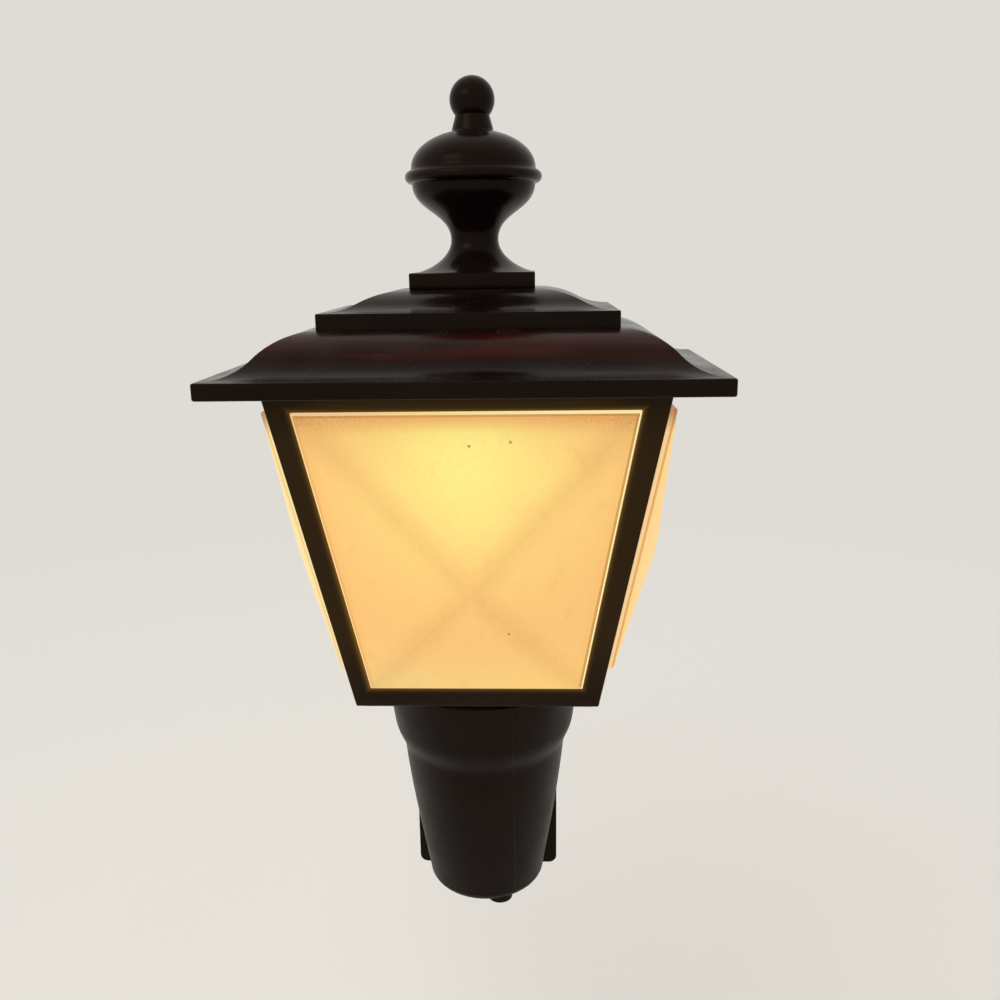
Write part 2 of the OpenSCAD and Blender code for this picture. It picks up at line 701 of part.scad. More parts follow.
// One millimetre on a bulb of the usual length
unit = bulb_len / 54;
glass_base_z = tip_z + 11.6 * unit;
bulb_top_z = tip_z + bulb_len;
belly_z = tip_z + 0.59 * bulb_len;

module at_bulb() {
    translate([0, socket_y, 0]) children();
}

// The envelope's outline from its neck to its tip, drawn in by inside
function glass_line(inside) = concat(
    bezier([[glass_neck_r - inside, glass_base_z], [glass_neck_r - inside, glass_base_z + 5],
        [glass_r - inside, belly_z - 9], [glass_r - inside, belly_z]], 14),
    bezier([[glass_r - inside, belly_z + 0.05], [glass_r - inside, belly_z + 8],
        [4.6 - inside, bulb_top_z - 4 - inside], [1.1, bulb_top_z - 0.7 - inside]], 14),
    bezier([[1.0, bulb_top_z - 0.6 - inside], [0.8, bulb_top_z - 0.2 - inside],
        [0.4, bulb_top_z - inside], [0, bulb_top_z - inside]], 4));

module bulb_glass() {
    color([0.95, 0.96, 0.98, 0.4]) at_bulb() rotate_extrude()
        polygon(concat(glass_line(0), reversed(glass_line(glass_wall))));
}

base_wall = 0.25;

module bulb_base() {
    z0 = thread_start;
    z1 = glass_base_z + 0.8;
    collar = glass_neck_r + 3 * slip;
    lip = 0.75 * thread_r;
    heel = 0.91 * thread_r;
    color(nickel) at_bulb() rotate_extrude() polygon(concat(
        [[lip, z0 - 0.9], [heel, z0 - 0.6]], thread_line(z0, z1 - 0.7, 0),
        [[collar + 2 * base_wall, z1], [collar + 2 * base_wall, z1 + 1],
            [collar, z1 + 1], [collar, z1 - 1.3]],
        [[thread_r - thread_wave - base_wall, z1 - 1.9], [thread_r - thread_wave - base_wall, z0],
            [heel - base_wall, z0 - 0.3], [lip, z0 - 0.6]]));
}

module base_insulator() {
    z0 = tip_z + 0.9;
    z1 = thread_start - 0.3;
    rim = 0.74 * thread_r;
    color([0.08, 0.08, 0.09]) at_bulb() rotate_extrude()
        polygon([[0, z0], [rim / 2, z0], [rim, z1 - 0.6], [rim, z1], [0, z1]]);
}

module base_contact() {
    color(nickel) at_bulb() rotate_extrude() polygon(concat([[0, tip_z]],
        arc([0.9, tip_z + 0.9], 0.9, -90, 0, 5), [[0, tip_z + 0.9]]));
}

press_z = tip_z + 23.5 * unit;
press_r = 1.9 * unit;
lead_x = 3.2 * unit;
lead_top_z = tip_z + 38 * unit;
arch_h = 3.2 * unit;
wire_r = 0.2;

module stem_mount() {
    color([0.9, 0.93, 0.95, 0.5]) at_bulb() rotate_extrude() polygon(concat(
        [[0, glass_base_z], [glass_neck_r - glass_wall, glass_base_z]],
        bezier([[glass_neck_r - glass_wall, glass_base_z + unit], [1.3 * press_r, glass_base_z + 2 * unit],
            [press_r, glass_base_z + 5 * unit], [press_r, press_z - 1.5 * unit]]),
        [[0.8 * press_r, press_z], [0, press_z]]));
}

// A round wire between two points
module wire(a, b, r) {
    d = b - a;
    translate(a) rotate([0, acos(d[2] / norm(d)), atan2(d[1], d[0])]) cylinder(r = r, h = norm(d), $fn = 16);
}

module lead_wires() {
    bend_z = press_z + 5 * unit;
    color(nickel) at_bulb() {
        for (side = [-1, 1]) {
            wire([side * press_r / 2, 0, press_z], [side * lead_x, 0, bend_z], wire_r);
            translate([side * lead_x, 0, bend_z]) sphere(r = 1.2 * wire_r, $fn = 16);
            wire([side * lead_x, 0, bend_z], [side * lead_x, 0, lead_top_z], wire_r);
        }
        wire([0, 0, press_z], [0, 0, lead_top_z + arch_h], 0.75 * wire_r);
    }
}

module filament() {
    coil_r = 0.3;
    z = lead_top_z + 1.5 * coil_r;
    color([0.35, 0.34, 0.33]) at_bulb() for (side = [-1, 1]) {
        wire([side * lead_x, 0, z], [0, 0, z + arch_h], coil_r);
        translate([side * lead_x, 0, z]) sphere(r = 1.1 * coil_r, $fn = 16);
    }
}

roof();
finial();
front_frame();
shade();
neck_housing();
plug_body();
cover_screw();
blade_left();
blade_right();
blade_rivets();
neutral_strap();
live_strap();
contact_base();
socket_rivets();
socket_shell();
centre_contact();
bulb_glass();
bulb_base();
base_insulator();
base_contact();
stem_mount();
lead_wires();
filament();
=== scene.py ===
# %% [markdown]
# # A coach-lantern night light
# The lamp is a small half lantern of dark moulded plastic that plugs straight into an outlet. A bulb burns
# behind a translucent amber shade. The solids come from a CAD model whose pieces already have their places.
# This notebook dresses them: it models the visible mouldings again with soft edges, gives every piece a
# material, and sets up the camera and the lights.

# %% Load the CAD model
import math
import bmesh
import bpy
from mathutils import Matrix, Vector


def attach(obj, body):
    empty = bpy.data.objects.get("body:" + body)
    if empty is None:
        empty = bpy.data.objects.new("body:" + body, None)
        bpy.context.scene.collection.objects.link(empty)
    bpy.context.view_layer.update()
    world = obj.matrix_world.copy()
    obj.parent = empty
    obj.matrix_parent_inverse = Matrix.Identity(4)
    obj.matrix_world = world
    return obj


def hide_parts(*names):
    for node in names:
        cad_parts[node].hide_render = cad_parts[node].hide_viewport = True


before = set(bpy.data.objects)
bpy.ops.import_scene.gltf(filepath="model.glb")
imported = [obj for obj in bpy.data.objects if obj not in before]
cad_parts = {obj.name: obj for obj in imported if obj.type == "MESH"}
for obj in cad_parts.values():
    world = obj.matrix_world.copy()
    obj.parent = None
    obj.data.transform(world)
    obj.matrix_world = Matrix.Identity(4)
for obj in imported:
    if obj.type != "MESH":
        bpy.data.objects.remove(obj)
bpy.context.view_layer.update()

# %% [markdown]
# ## The camera
# The lamp is seen from a little above its roof and a little to its right, close enough for some
# perspective. A camera can be turned by angles, but a point to look at is easier to read, so the camera
# gets its place, the point it looks at and a small roll.

# %% Camera
MM = 0.001


def mm(x, y, z):
    return Vector((x, y, z)) * MM


eye = mm(7.93, -140.67, 80.70)
look_at = mm(3.18, -20.0, 49.56)
roll = math.radians(-0.84)
lens_mm = 34.02


def put_in_scene(name, data):
    """Makes an object of its data, and links it, because an unlinked object doesn't render."""
    made = bpy.data.objects.new(name, data)
    bpy.context.scene.collection.objects.link(made)
    return made


camera = put_in_scene("camera", bpy.data.cameras.new("camera"))
camera.data.sensor_width = 36.0
camera.data.lens = lens_mm
camera.data.clip_start = 0.005
camera.location = eye
turn = (look_at - eye).to_track_quat("-Z", "Y").to_matrix() @ Matrix.Rotation(roll, 3, "Z")
camera.rotation_euler = turn.to_euler()
bpy.context.scene.camera = camera
print("camera at", [round(c, 4) for c in eye], "lens", lens_mm)

# %% [markdown]
# ## Colours and nodes
# Colours are written as sRGB hex values, as a paint chart gives them, and Blender wants linear numbers, so
# one function converts them. One more adds a node, with its settings and its links. Patterns are sized by
# the real width of what they show: a noise of scale 1000 / width has features about that many
# millimetres wide.

# %% Helpers for materials
def colour(hex_value):
    channels = [int(hex_value[i:i + 2], 16) / 255 for i in (1, 3, 5)]
    return tuple(c / 12.92 if c <= 0.04045 else ((c + 0.055) / 1.055) ** 2.4 for c in channels) + (1.0,)


def add(tree, kind, inputs=None, **settings):
    """Adds a node. An input is a value, a socket, or a node, which stands for its first output."""
    node = tree.nodes.new("ShaderNode" + kind)
    for key, value in settings.items():
        setattr(node, key, value)
    for key, value in (inputs or {}).items():
        source = value.outputs[0] if isinstance(value, bpy.types.Node) else value
        if isinstance(source, bpy.types.NodeSocket):
            tree.links.new(source, node.inputs[key])
        else:
            node.inputs[key].default_value = value
    return node


def per_mm(width):
    return 1000.0 / width


def new_material(name, **sockets):
    material = bpy.data.materials.new(name)
    material.use_nodes = True
    tree = material.node_tree
    shader = tree.nodes["Principled BSDF"]
    for key, value in sockets.items():
        shader.inputs[key.replace("_", " ")].default_value = value
    return material, tree, shader, add(tree, "TexCoord").outputs["Object"]


# %% [markdown]
# ## Brown polystyrene
# Roof, finial, frame, neck and plug are injection-moulded polystyrene, coloured a brown that is nearly
# black. A band of oxblood streaks along the roof's round part is a painted reddish reflection. Its surface
# copies a polished mould, so it is glossy, but handling has left a haze and hairline scratches, and a little
# dust lies on what faces up. One flat dark colour would look like a hole, so pigment, the painted
# reflection, dust, scratches and ripple each get a pattern.

# %% Brown polystyrene: pigment and painted reflection
brown, tree, shader, place = new_material("moulded_brown_polystyrene", IOR=1.5)
# The pigment's warm tone also tints the sheen, and its low level gives a dim, hazy gloss
shader.inputs["Specular Tint"].default_value = colour("#EBCDB2")
shader.inputs["Specular IOR Level"].default_value = 0.12
# The pigment flows in swirls about 14 mm wide
swirl = add(tree, "TexNoise", {"Vector": place, "Scale": per_mm(14), "Detail": 3.0})
swirled = add(tree, "MapRange", {0: swirl, 1: 0.35, 2: 0.65})
tint = add(tree, "Mix", {0: swirled, 6: colour("#090505"), 7: colour("#100806")}, data_type="RGBA").outputs[2]
# The oxblood streaks are a painted reddish reflection along the roof's round part, some 25 mm long and 1 mm
# high
along = add(tree, "Mapping", {"Vector": place, "Scale": (per_mm(25), per_mm(25), per_mm(1.1))})
streaks = add(tree, "TexNoise", {"Vector": along, "Scale": 1.0, "Detail": 2.0})
height = add(tree, "SeparateXYZ", {0: place}).outputs[2]
rising = add(tree, "MapRange", {0: height, 1: 69.0 * MM, 2: 70.4 * MM})
falling = add(tree, "MapRange", {0: height, 1: 72.5 * MM, 2: 71.6 * MM})
band = add(tree, "Math", {0: rising, 1: falling}, operation="MULTIPLY")
patchy = add(tree, "MapRange", {0: streaks, 1: 0.38, 2: 0.58, 3: 0.2, 4: 1.0})
painted_reflection_streak = add(tree, "Math", {0: band, 1: patchy}, operation="MULTIPLY")
pigment_and_reflection = add(tree, "Mix", {0: painted_reflection_streak, 6: tint, 7: colour("#2A0D0B")}, data_type="RGBA").outputs[2]
print("pigment of", brown.name)

# %% Brown polystyrene: dust
# Dust is grains about 0.35 mm wide, drawn a little coarser than real so that they show, and a thin film
grains = add(tree, "TexNoise", {"Vector": place, "Scale": per_mm(0.35), "Detail": 2.0})
patches = add(tree, "TexNoise", {"Vector": place, "Scale": per_mm(6), "Detail": 2.0})
up = add(tree, "SeparateXYZ", {0: add(tree, "NewGeometry").outputs["Normal"]}).outputs[2]
lying = add(tree, "MapRange", {0: up, 1: 0.5, 2: 1.0})
speck = add(tree, "MapRange", {0: grains, 1: 0.67, 2: 0.75, 4: 0.2})
film = add(tree, "MapRange", {0: patches, 1: 0.45, 2: 0.75, 4: 0.03})
both = add(tree, "Math", {0: speck, 1: film}, operation="ADD")
dust = add(tree, "Math", {0: lying, 1: both}, operation="MULTIPLY", use_clamp=True)
dusted = add(tree, "Mix", {0: dust, 6: pigment_and_reflection, 7: colour("#6F6455")}, data_type="RGBA").outputs[2]
tree.links.new(dusted, shader.inputs["Base Color"])
print("dust on", brown.name)

# %% Brown polystyrene: scratches and ripple
# Hairline scratches, 0.12 mm wide and some 8 mm long, run in two directions
scratch = None
for angle in (0.5, -1.1):
    lines = add(tree, "Mapping", {"Vector": place, "Rotation": (0.3, angle, angle),
                                  "Scale": (per_mm(8), per_mm(0.3), per_mm(0.12))})
    thread = add(tree, "TexNoise", {"Vector": lines, "Scale": 1.0, "Detail": 0.0})
    cut = add(tree, "MapRange", {0: thread, 1: 0.80, 2: 0.86})
    scratch = cut if scratch is None else add(tree, "Math", {0: scratch, 1: cut}, operation="MAXIMUM")
haze = add(tree, "MapRange", {0: patches, 1: 0.3, 2: 0.7, 3: 0.17, 4: 0.28})
worn = add(tree, "Math", {0: scratch, 1: 0.22, 2: haze}, operation="MULTIPLY_ADD")
rough = add(tree, "Math", {0: dust, 1: 0.5, 2: worn}, operation="MULTIPLY_ADD", use_clamp=True)
tree.links.new(rough.outputs[0], shader.inputs["Roughness"])
# The mould's faint ripple is waves 2.5 mm wide and a few thousandths of a millimetre high
ripple = add(tree, "TexNoise", {"Vector": place, "Scale": per_mm(2.5), "Detail": 2.0})
relief = add(tree, "Math", {0: scratch, 1: -0.4, 2: ripple}, operation="MULTIPLY_ADD")
bump = add(tree, "Bump", {"Height": relief, "Strength": 0.6, "Distance": 0.012 * MM})
tree.links.new(bump.outputs[0], shader.inputs["Normal"])
print("scratches and ripple on", brown.name)

# %% [markdown]
# ## The frame's painted glow and the neck's parting line
# Two pieces of the same plastic look different. The shade's light on the frame's bars is painted into
# the plastic as a glow. A thin line of it glows along the opening, measured as the distance outside it,
# and more lies along the top.
# The neck is satin, and shows a fine line where the halves of its mould met. Both start as copies of the
# brown plastic and get a few more nodes, so that a change to the plastic reaches all of them.

# %% Window bars
foot_z, foot_half = 23.15, 15.8
lean = (23.4 - foot_half) / (65.9 - foot_z)


def half_width(z):
    return foot_half + lean * (z - foot_z)


win_low, win_high = 26.0, 63.6
win_low_half, win_high_half = half_width(win_low) - 2.4, half_width(win_high) - 2.85
window_lean = (win_high_half - win_low_half) / (win_high - win_low)


def window_half(z):
    return win_low_half + window_lean * (z - win_low)


lit_brown = brown.copy()
lit_brown.name = "moulded_brown_with_painted_glow"
tree = lit_brown.node_tree
axes = add(tree, "SeparateXYZ", {0: add(tree, "TexCoord").outputs["Object"]})
# How far a point lies outside the opening, whose middle is 0.12 mm to the left
moved = add(tree, "Math", {0: axes.outputs[0], 1: 0.12 * MM}, operation="ADD")
across = add(tree, "Math", {0: moved}, operation="ABSOLUTE")
pane_edge = add(tree, "Math", {0: axes.outputs[2], 1: window_lean, 2: window_half(0) * MM},
                operation="MULTIPLY_ADD")
beside = add(tree, "Math", {0: across, 1: pane_edge}, operation="SUBTRACT")
higher = add(tree, "Math", {0: axes.outputs[2], 1: win_high * MM}, operation="SUBTRACT")
lower = add(tree, "Math", {0: win_low * MM, 1: axes.outputs[2]}, operation="SUBTRACT")
outside = add(tree, "Math", {0: add(tree, "Math", {0: higher, 1: lower}, operation="MAXIMUM"), 1: beside},
              operation="MAXIMUM")
close = add(tree, "MapRange", {0: outside, 1: 1.2 * MM, 2: 0.0})
near_glow = add(tree, "Math", {0: close, 1: 4.0}, operation="POWER")
# The whole bar gets a little painted glow, least at its foot and under the eave
low_end = add(tree, "MapRange", {0: axes.outputs[2], 1: 24.5 * MM, 2: 33.0 * MM, 3: 0.03, 4: 0.13})
high_end = add(tree, "MapRange", {0: axes.outputs[2], 1: 65.0 * MM, 2: 60.0 * MM, 3: 0.35, 4: 1.0})
whole_bar = add(tree, "Math", {0: low_end, 1: high_end, 2: near_glow}, operation="MULTIPLY_ADD")
# Along the top bar the painted glow fades upwards, and towards the corners
over_pane = add(tree, "MapRange", {0: axes.outputs[2], 1: 62.8 * MM, 2: 63.4 * MM})
fading = add(tree, "MapRange", {0: axes.outputs[2], 1: 65.4 * MM, 2: 63.5 * MM, 3: 0.25, 4: 1.0})
mid_bar = add(tree, "MapRange", {0: across, 1: 21.0 * MM, 2: 15.0 * MM, 3: 0.08, 4: 0.26})
top_bar = add(tree, "Math", {0: over_pane, 1: fading}, operation="MULTIPLY")
on_top = add(tree, "Math", {0: top_bar, 1: mid_bar}, operation="MULTIPLY")
lit = add(tree, "Math", {0: whole_bar, 1: on_top}, operation="MAXIMUM")
through = add(tree, "Mix", {0: lit, 6: colour("#000000"), 7: colour("#664A17")}, data_type="RGBA").outputs[2]
tree.links.new(through, tree.nodes["Principled BSDF"].inputs["Emission Color"])
tree.nodes["Principled BSDF"].inputs["Emission Strength"].default_value = 1.0
print("made", lit_brown.name)

# %% Parting line
parted_brown = brown.copy()
parted_brown.name = "moulded_brown_with_parting_line"
tree = parted_brown.node_tree
shader = tree.nodes["Principled BSDF"]
side_x = add(tree, "SeparateXYZ", {0: add(tree, "TexCoord").outputs["Object"]})
# One half stands a little prouder than the other, a step 0.12 mm wide, at 4.6 mm to the right
step = add(tree, "MapRange", {0: side_x, 1: 4.66 * MM, 2: 4.54 * MM})
seam = add(tree, "Bump", {"Height": step, "Strength": 1.0, "Distance": 0.05 * MM,
                          "Normal": tree.nodes["Bump"]})
tree.links.new(seam.outputs[0], shader.inputs["Normal"])
# The neck is handled most, and its mould was left satin, so it is rougher than the roof
polish = shader.inputs["Roughness"].links[0].from_socket
satin = add(tree, "Math", {0: polish, 1: 0.2}, operation="ADD")
tree.links.new(satin.outputs[0], shader.inputs["Roughness"])
print("made", parted_brown.name)

# %% [markdown]
# ## Amber shade
# The shade is a milky amber polystyrene that scatters the bulb's light, so the whole pane glows. It is
# hottest in front of the filament and falls off to orange at the borders. Along the moulded ridges that
# run from the peak to the corners the glow is painted a little darker, as painted shade, and the low rim
# around each pane is seen edge-on and glows brighter. The top corners carry darker brown crumbs, and the
# side panes' top ends, under the roof, are painted reddish brown as painted shade.
# The light could come from the lamp inside alone, but then a copy in other programs would be dark. So
# the glow is emission, shaped by the distance from the hottest point.

# %% Amber polystyrene: glow
pane_peak_z = 41.5
hot_x, hot_z, hot_reach = -0.4, 57.3, 23.5
amber, tree, shader, place = new_material(
    "milky_amber_polystyrene", IOR=1.5, Roughness=0.34, Specular_IOR_Level=0.3, Emission_Strength=1.0,
    Subsurface_Weight=0.1, Subsurface_Radius=(1.4 * MM, 0.8 * MM, 0.3 * MM), Subsurface_Scale=1.0)
flat = add(tree, "VectorMath", {0: place, 1: (1, 0, 1)}, operation="MULTIPLY")
hottest = (hot_x * MM, 0, hot_z * MM)
away = add(tree, "VectorMath", {0: flat, 1: hottest}, operation="DISTANCE").outputs["Value"]
# Clouds 8 mm wide in the milk push the glow about by up to 1.4 mm
cloud = add(tree, "TexNoise", {"Vector": place, "Scale": per_mm(8), "Detail": 3.0})
uneven = add(tree, "MapRange", {0: cloud, 1: 0.25, 2: 0.75, 3: -1.4 * MM, 4: 1.4 * MM})
spread = add(tree, "Math", {0: away, 1: uneven}, operation="ADD")
reach = add(tree, "MapRange", {0: spread, 1: 0.0, 2: hot_reach * MM})
warmth = add(tree, "ValToRGB", {0: reach})
warmth.color_ramp.interpolation = "B_SPLINE"
for place_on_ramp, tone in ((0.22, "#FFEB88"), (0.42, "#FDDA81"), (0.66, "#F9CC7B")):
    warmth.color_ramp.elements.new(place_on_ramp).color = colour(tone)
warmth.color_ramp.elements[0].color = colour("#FFF38F")
warmth.color_ramp.elements[-1].color = colour("#F3C277")
print("glow of", amber.name, "reaches", hot_reach, "mm")

# %% Amber polystyrene: borders
axes = add(tree, "SeparateXYZ", {0: place})
normal = add(tree, "SeparateXYZ", {0: add(tree, "NewGeometry").outputs["Normal"]})
front = add(tree, "Math", {0: normal.outputs[1], 1: -0.6}, operation="LESS_THAN")
across = add(tree, "Math", {0: axes.outputs[0]}, operation="ABSOLUTE")
above = add(tree, "Math", {0: axes.outputs[2], 1: pane_peak_z * MM}, operation="SUBTRACT")
# The front pane is 16.4 mm wide each way at its peak, and widens upwards
inner = add(tree, "Math", {0: above, 1: -lean, 2: across}, operation="MULTIPLY_ADD")
by_side = add(tree, "MapRange", {0: inner, 1: 14.4 * MM, 2: 16.8 * MM, 4: 0.45})
by_top = add(tree, "MapRange", {0: axes.outputs[2], 1: 61.1 * MM, 2: 62.8 * MM, 4: 0.78})
nearest = add(tree, "Math", {0: by_side, 1: by_top}, operation="MAXIMUM")
border = add(tree, "Math", {0: nearest, 1: front}, operation="MULTIPLY")
edged = add(tree, "Mix", {0: border, 6: warmth, 7: colour("#F4B064")}, data_type="RGBA").outputs[2]
# The floor under the shade throws light up, and the sides are seen on a slant, so both look creamier
by_foot = add(tree, "MapRange", {0: axes.outputs[2], 1: 34.0 * MM, 2: 27.0 * MM, 4: 0.5})
aside = add(tree, "Math", {0: normal.outputs[0]}, operation="ABSOLUTE")
by_slant = add(tree, "MapRange", {0: aside, 1: 0.5, 2: 0.8, 4: 0.8})
cream = add(tree, "Math", {0: by_foot, 1: by_slant}, operation="MAXIMUM")
rightward = add(tree, "MapRange", {0: axes.outputs[0], 1: -12 * MM, 2: 12 * MM})
cream_tone = add(tree, "Mix", {0: rightward, 6: colour("#E6D88E"), 7: colour("#FCD47B")}, data_type="RGBA")
creamy = add(tree, "Mix", {0: cream, 6: edged, 7: cream_tone.outputs[2]}, data_type="RGBA").outputs[2]
# Light leaves each facet of a side pane at its own angle, so those turned back or down look darker
backward = add(tree, "MapRange", {0: normal.outputs[1], 1: 0.03, 2: 0.2, 4: 0.32})
downward = add(tree, "MapRange", {0: normal.outputs[2], 1: -0.2, 2: -0.34, 4: 0.24})
averted = add(tree, "Math", {0: backward, 1: downward}, operation="MAXIMUM")
darker = add(tree, "Math", {0: averted, 1: by_slant}, operation="MULTIPLY")
faceted = add(tree, "Mix", {0: darker, 6: creamy, 7: colour("#D09245")}, data_type="RGBA").outputs[2]
print("borders of", amber.name)

# %% Amber polystyrene: ridges
# The glow is painted darker along the ridges, as painted shade
# Each pair of ridges is a line through the peak: how far a point lies off it is a sum of its x and height
ridge = None
for corner_x, corner_z, side in ((13.5, 26.4, "LESS_THAN"), (19.7, 63.2, "GREATER_THAN")):
    run, rise = corner_x, corner_z - pane_peak_z
    length = math.hypot(run, rise)
    risen = add(tree, "Math", {0: across, 1: rise / length}, operation="MULTIPLY")
    off = add(tree, "Math", {0: above, 1: -run / length, 2: risen}, operation="MULTIPLY_ADD")
    near = add(tree, "MapRange", {0: add(tree, "Math", {0: off}, operation="ABSOLUTE"),
                                  1: 2.7 * MM, 2: 0.0, 4: 0.25})
    half = add(tree, "Math", {0: above, 1: 0.0}, operation=side)
    arm = add(tree, "Math", {0: near, 1: half}, operation="MULTIPLY")
    ridge = arm if ridge is None else add(tree, "Math", {0: ridge, 1: arm}, operation="ADD")
shown = add(tree, "Math", {0: ridge, 1: front}, operation="MULTIPLY")
ridge_shaded = add(tree, "Mix", {0: shown, 6: faceted, 7: colour("#CC9654")}, data_type="RGBA").outputs[2]
print("ridges of", amber.name)

# %% Amber polystyrene: speckle and darker crumbs
# Speckle in the plastic is 0.5 mm wide, and handling has left smudges of 3 mm
speckle = add(tree, "TexNoise", {"Vector": place, "Scale": per_mm(0.5), "Detail": 2.0})
grain = add(tree, "MapRange", {0: speckle, 1: 0.45, 2: 0.8, 4: 0.1})
blotch = add(tree, "TexNoise", {"Vector": place, "Scale": per_mm(3), "Detail": 4.0})
smudge = add(tree, "MapRange", {0: blotch, 1: 0.6, 2: 0.72, 4: 0.14})
spotted = add(tree, "Math", {0: grain, 1: smudge}, operation="ADD")
grained = add(tree, "Mix", {0: spotted, 6: ridge_shaded, 7: colour("#D99B56")}, data_type="RGBA").outputs[2]
# Darker brown crumbs of 0.3 mm lie high up and far out
high = add(tree, "MapRange", {0: axes.outputs[2], 1: 60.5 * MM, 2: 63.6 * MM})
wide = add(tree, "MapRange", {0: across, 1: 5 * MM, 2: 19 * MM, 3: 0.1, 4: 0.9})
crumbs = add(tree, "TexNoise", {"Vector": place, "Scale": per_mm(0.3), "Detail": 6.0, "Roughness": 0.7})
loose = add(tree, "MapRange", {0: crumbs, 1: 0.45, 2: 0.75, 3: 0.08, 4: 1.0})
high_and_wide = add(tree, "Math", {0: high, 1: wide}, operation="MULTIPLY")
darker_crumbs = add(tree, "Math", {0: high_and_wide, 1: loose}, operation="MULTIPLY")
crumbed = add(tree, "Mix", {0: darker_crumbs, 6: grained, 7: colour("#8E5A2C")}, data_type="RGBA").outputs[2]
print("dirt on", amber.name)

# %% Amber polystyrene: flecks and rims
# Three dark flecks 0.35 mm wide are moulded into the front, at these places across and up
fleck = None
for x, z in ((0.26, 59.6), (5.03, 60.05), (4.5, 35.4)):
    at = (x * MM, 0, z * MM)
    offset = add(tree, "VectorMath", {0: flat, 1: at}, operation="DISTANCE").outputs["Value"]
    spot = add(tree, "MapRange", {0: offset, 1: 0.24 * MM, 2: 0.08 * MM, 4: 0.75})
    fleck = spot if fleck is None else add(tree, "Math", {0: fleck, 1: spot}, operation="MAXIMUM")
flecked = add(tree, "Math", {0: fleck, 1: front}, operation="MULTIPLY")
marked = add(tree, "Mix", {0: flecked, 6: crumbed, 7: colour("#4A3014")}, data_type="RGBA").outputs[2]
# Rims: 1 is a rim seen edge-on, 0.5 is the line where a side pane's rim turns into its facets, and below
# 0 is the crease inside the front rim, where a shadow line is painted
rim = add(tree, "Attribute", attribute_name="rim").outputs["Fac"]
shadow_line = add(tree, "MapRange", {0: rim, 1: 0.0, 2: -1.0, 4: 0.64})
painted_crease_shadow = add(tree, "Math", {0: shadow_line, 1: front}, operation="MULTIPLY")
crease_shadowed = add(tree, "Mix", {0: painted_crease_shadow, 6: marked, 7: colour("#A8742E")}, data_type="RGBA").outputs[2]
edge_on = add(tree, "MapRange", {0: rim, 1: 0.0, 2: 0.5, 4: 0.85})
on_side = add(tree, "Math", {0: inner, 1: 17.9 * MM}, operation="GREATER_THAN")
side_rim = add(tree, "Mix", {0: rightward, 6: colour("#EEE2A2"), 7: colour("#F2CC96")}, data_type="RGBA")
front_rim = add(tree, "Mix", {0: rightward, 6: colour("#F6D096"), 7: colour("#FFF4B8")}, data_type="RGBA")
rim_tone = add(tree, "Mix", {0: on_side, 6: front_rim.outputs[2], 7: side_rim.outputs[2]}, data_type="RGBA")
turned = add(tree, "MapRange", {0: rim, 1: 0.5, 2: 1.0})
fold_tone = add(tree, "Mix", {0: rightward, 6: colour("#EBD08C"), 7: colour("#DAAA60")}, data_type="RGBA")
line_tone = add(tree, "Mix", {0: turned, 6: fold_tone.outputs[2], 7: rim_tone.outputs[2]}, data_type="RGBA")
rimmed = add(tree, "Mix", {0: edge_on, 6: crease_shadowed, 7: line_tone.outputs[2]}, data_type="RGBA").outputs[2]
# The side panes' top ends are painted reddish brown, as painted shade under the roof
side_high = add(tree, "MapRange", {0: axes.outputs[2], 1: 60.6 * MM, 2: 63.0 * MM, 4: 0.75})
side_top_shade = add(tree, "Math", {0: side_high, 1: on_side}, operation="MULTIPLY")
glow = add(tree, "Mix", {0: side_top_shade, 6: rimmed, 7: colour("#96604A")}, data_type="RGBA").outputs[2]
milk = add(tree, "Mix", {0: 0.18, 6: colour("#6B4A24"), 7: glow}, data_type="RGBA").outputs[2]
# A pane gives off less light than its colour would at full strength, and a rim seen edge-on gives more
strength = add(tree, "MapRange", {0: rim, 1: 0.5, 2: 1.0, 3: 0.72, 4: 0.9})
shining = add(tree, "VectorMath", {0: glow, "Scale": strength}, operation="SCALE")
tree.links.new(shining.outputs[0], shader.inputs["Emission Color"])
tree.links.new(milk, shader.inputs["Base Color"])
grit = add(tree, "Bump", {"Height": speckle, "Strength": 0.4, "Distance": 0.02 * MM})
tree.links.new(grit.outputs[0], shader.inputs["Normal"])
print("made", amber.name, "of", len(tree.nodes), "nodes")

# %% [markdown]
# ## Metals, board and glass
# The contacts are rolled brass, with a faint grain along the sheet and a few dull spots of tarnish. The
# bulb's base and the rivets are nickel-plated brass, bright with fine spin marks. The screw is zinc-plated
# steel. The socket's disc is pressed phenolic board, and the bulb is soda-lime glass with black glass
# in its base. Metals keep their default IOR, and only colour and roughness are set.

# %% Metals
def make_metal(name, dull, bright, smooth, matt, spot_mm):
    material, tree, shader, place = new_material(name, Metallic=1.0)
    spots = add(tree, "TexNoise", {"Vector": place, "Scale": per_mm(spot_mm), "Detail": 4.0})
    clean = add(tree, "MapRange", {0: spots, 1: 0.35, 2: 0.65})
    tone = add(tree, "Mix", {0: clean, 6: colour(dull), 7: colour(bright)}, data_type="RGBA").outputs[2]
    tree.links.new(tone, shader.inputs["Base Color"])
    # Rolling or spinning leaves lines about 0.08 mm apart, drawn at 0.15 mm so that they show
    stretch = add(tree, "Mapping", {"Vector": place, "Scale": (per_mm(0.15), per_mm(9), per_mm(0.15))})
    lines = add(tree, "TexNoise", {"Vector": stretch, "Scale": 1.0, "Detail": 1.0})
    rough = add(tree, "MapRange", {0: lines, 1: 0.3, 2: 0.7, 3: smooth, 4: matt})
    tree.links.new(rough.outputs[0], shader.inputs["Roughness"])
    bump = add(tree, "Bump", {"Height": lines, "Strength": 0.25, "Distance": 0.004 * MM})
    tree.links.new(bump.outputs[0], shader.inputs["Normal"])
    return material


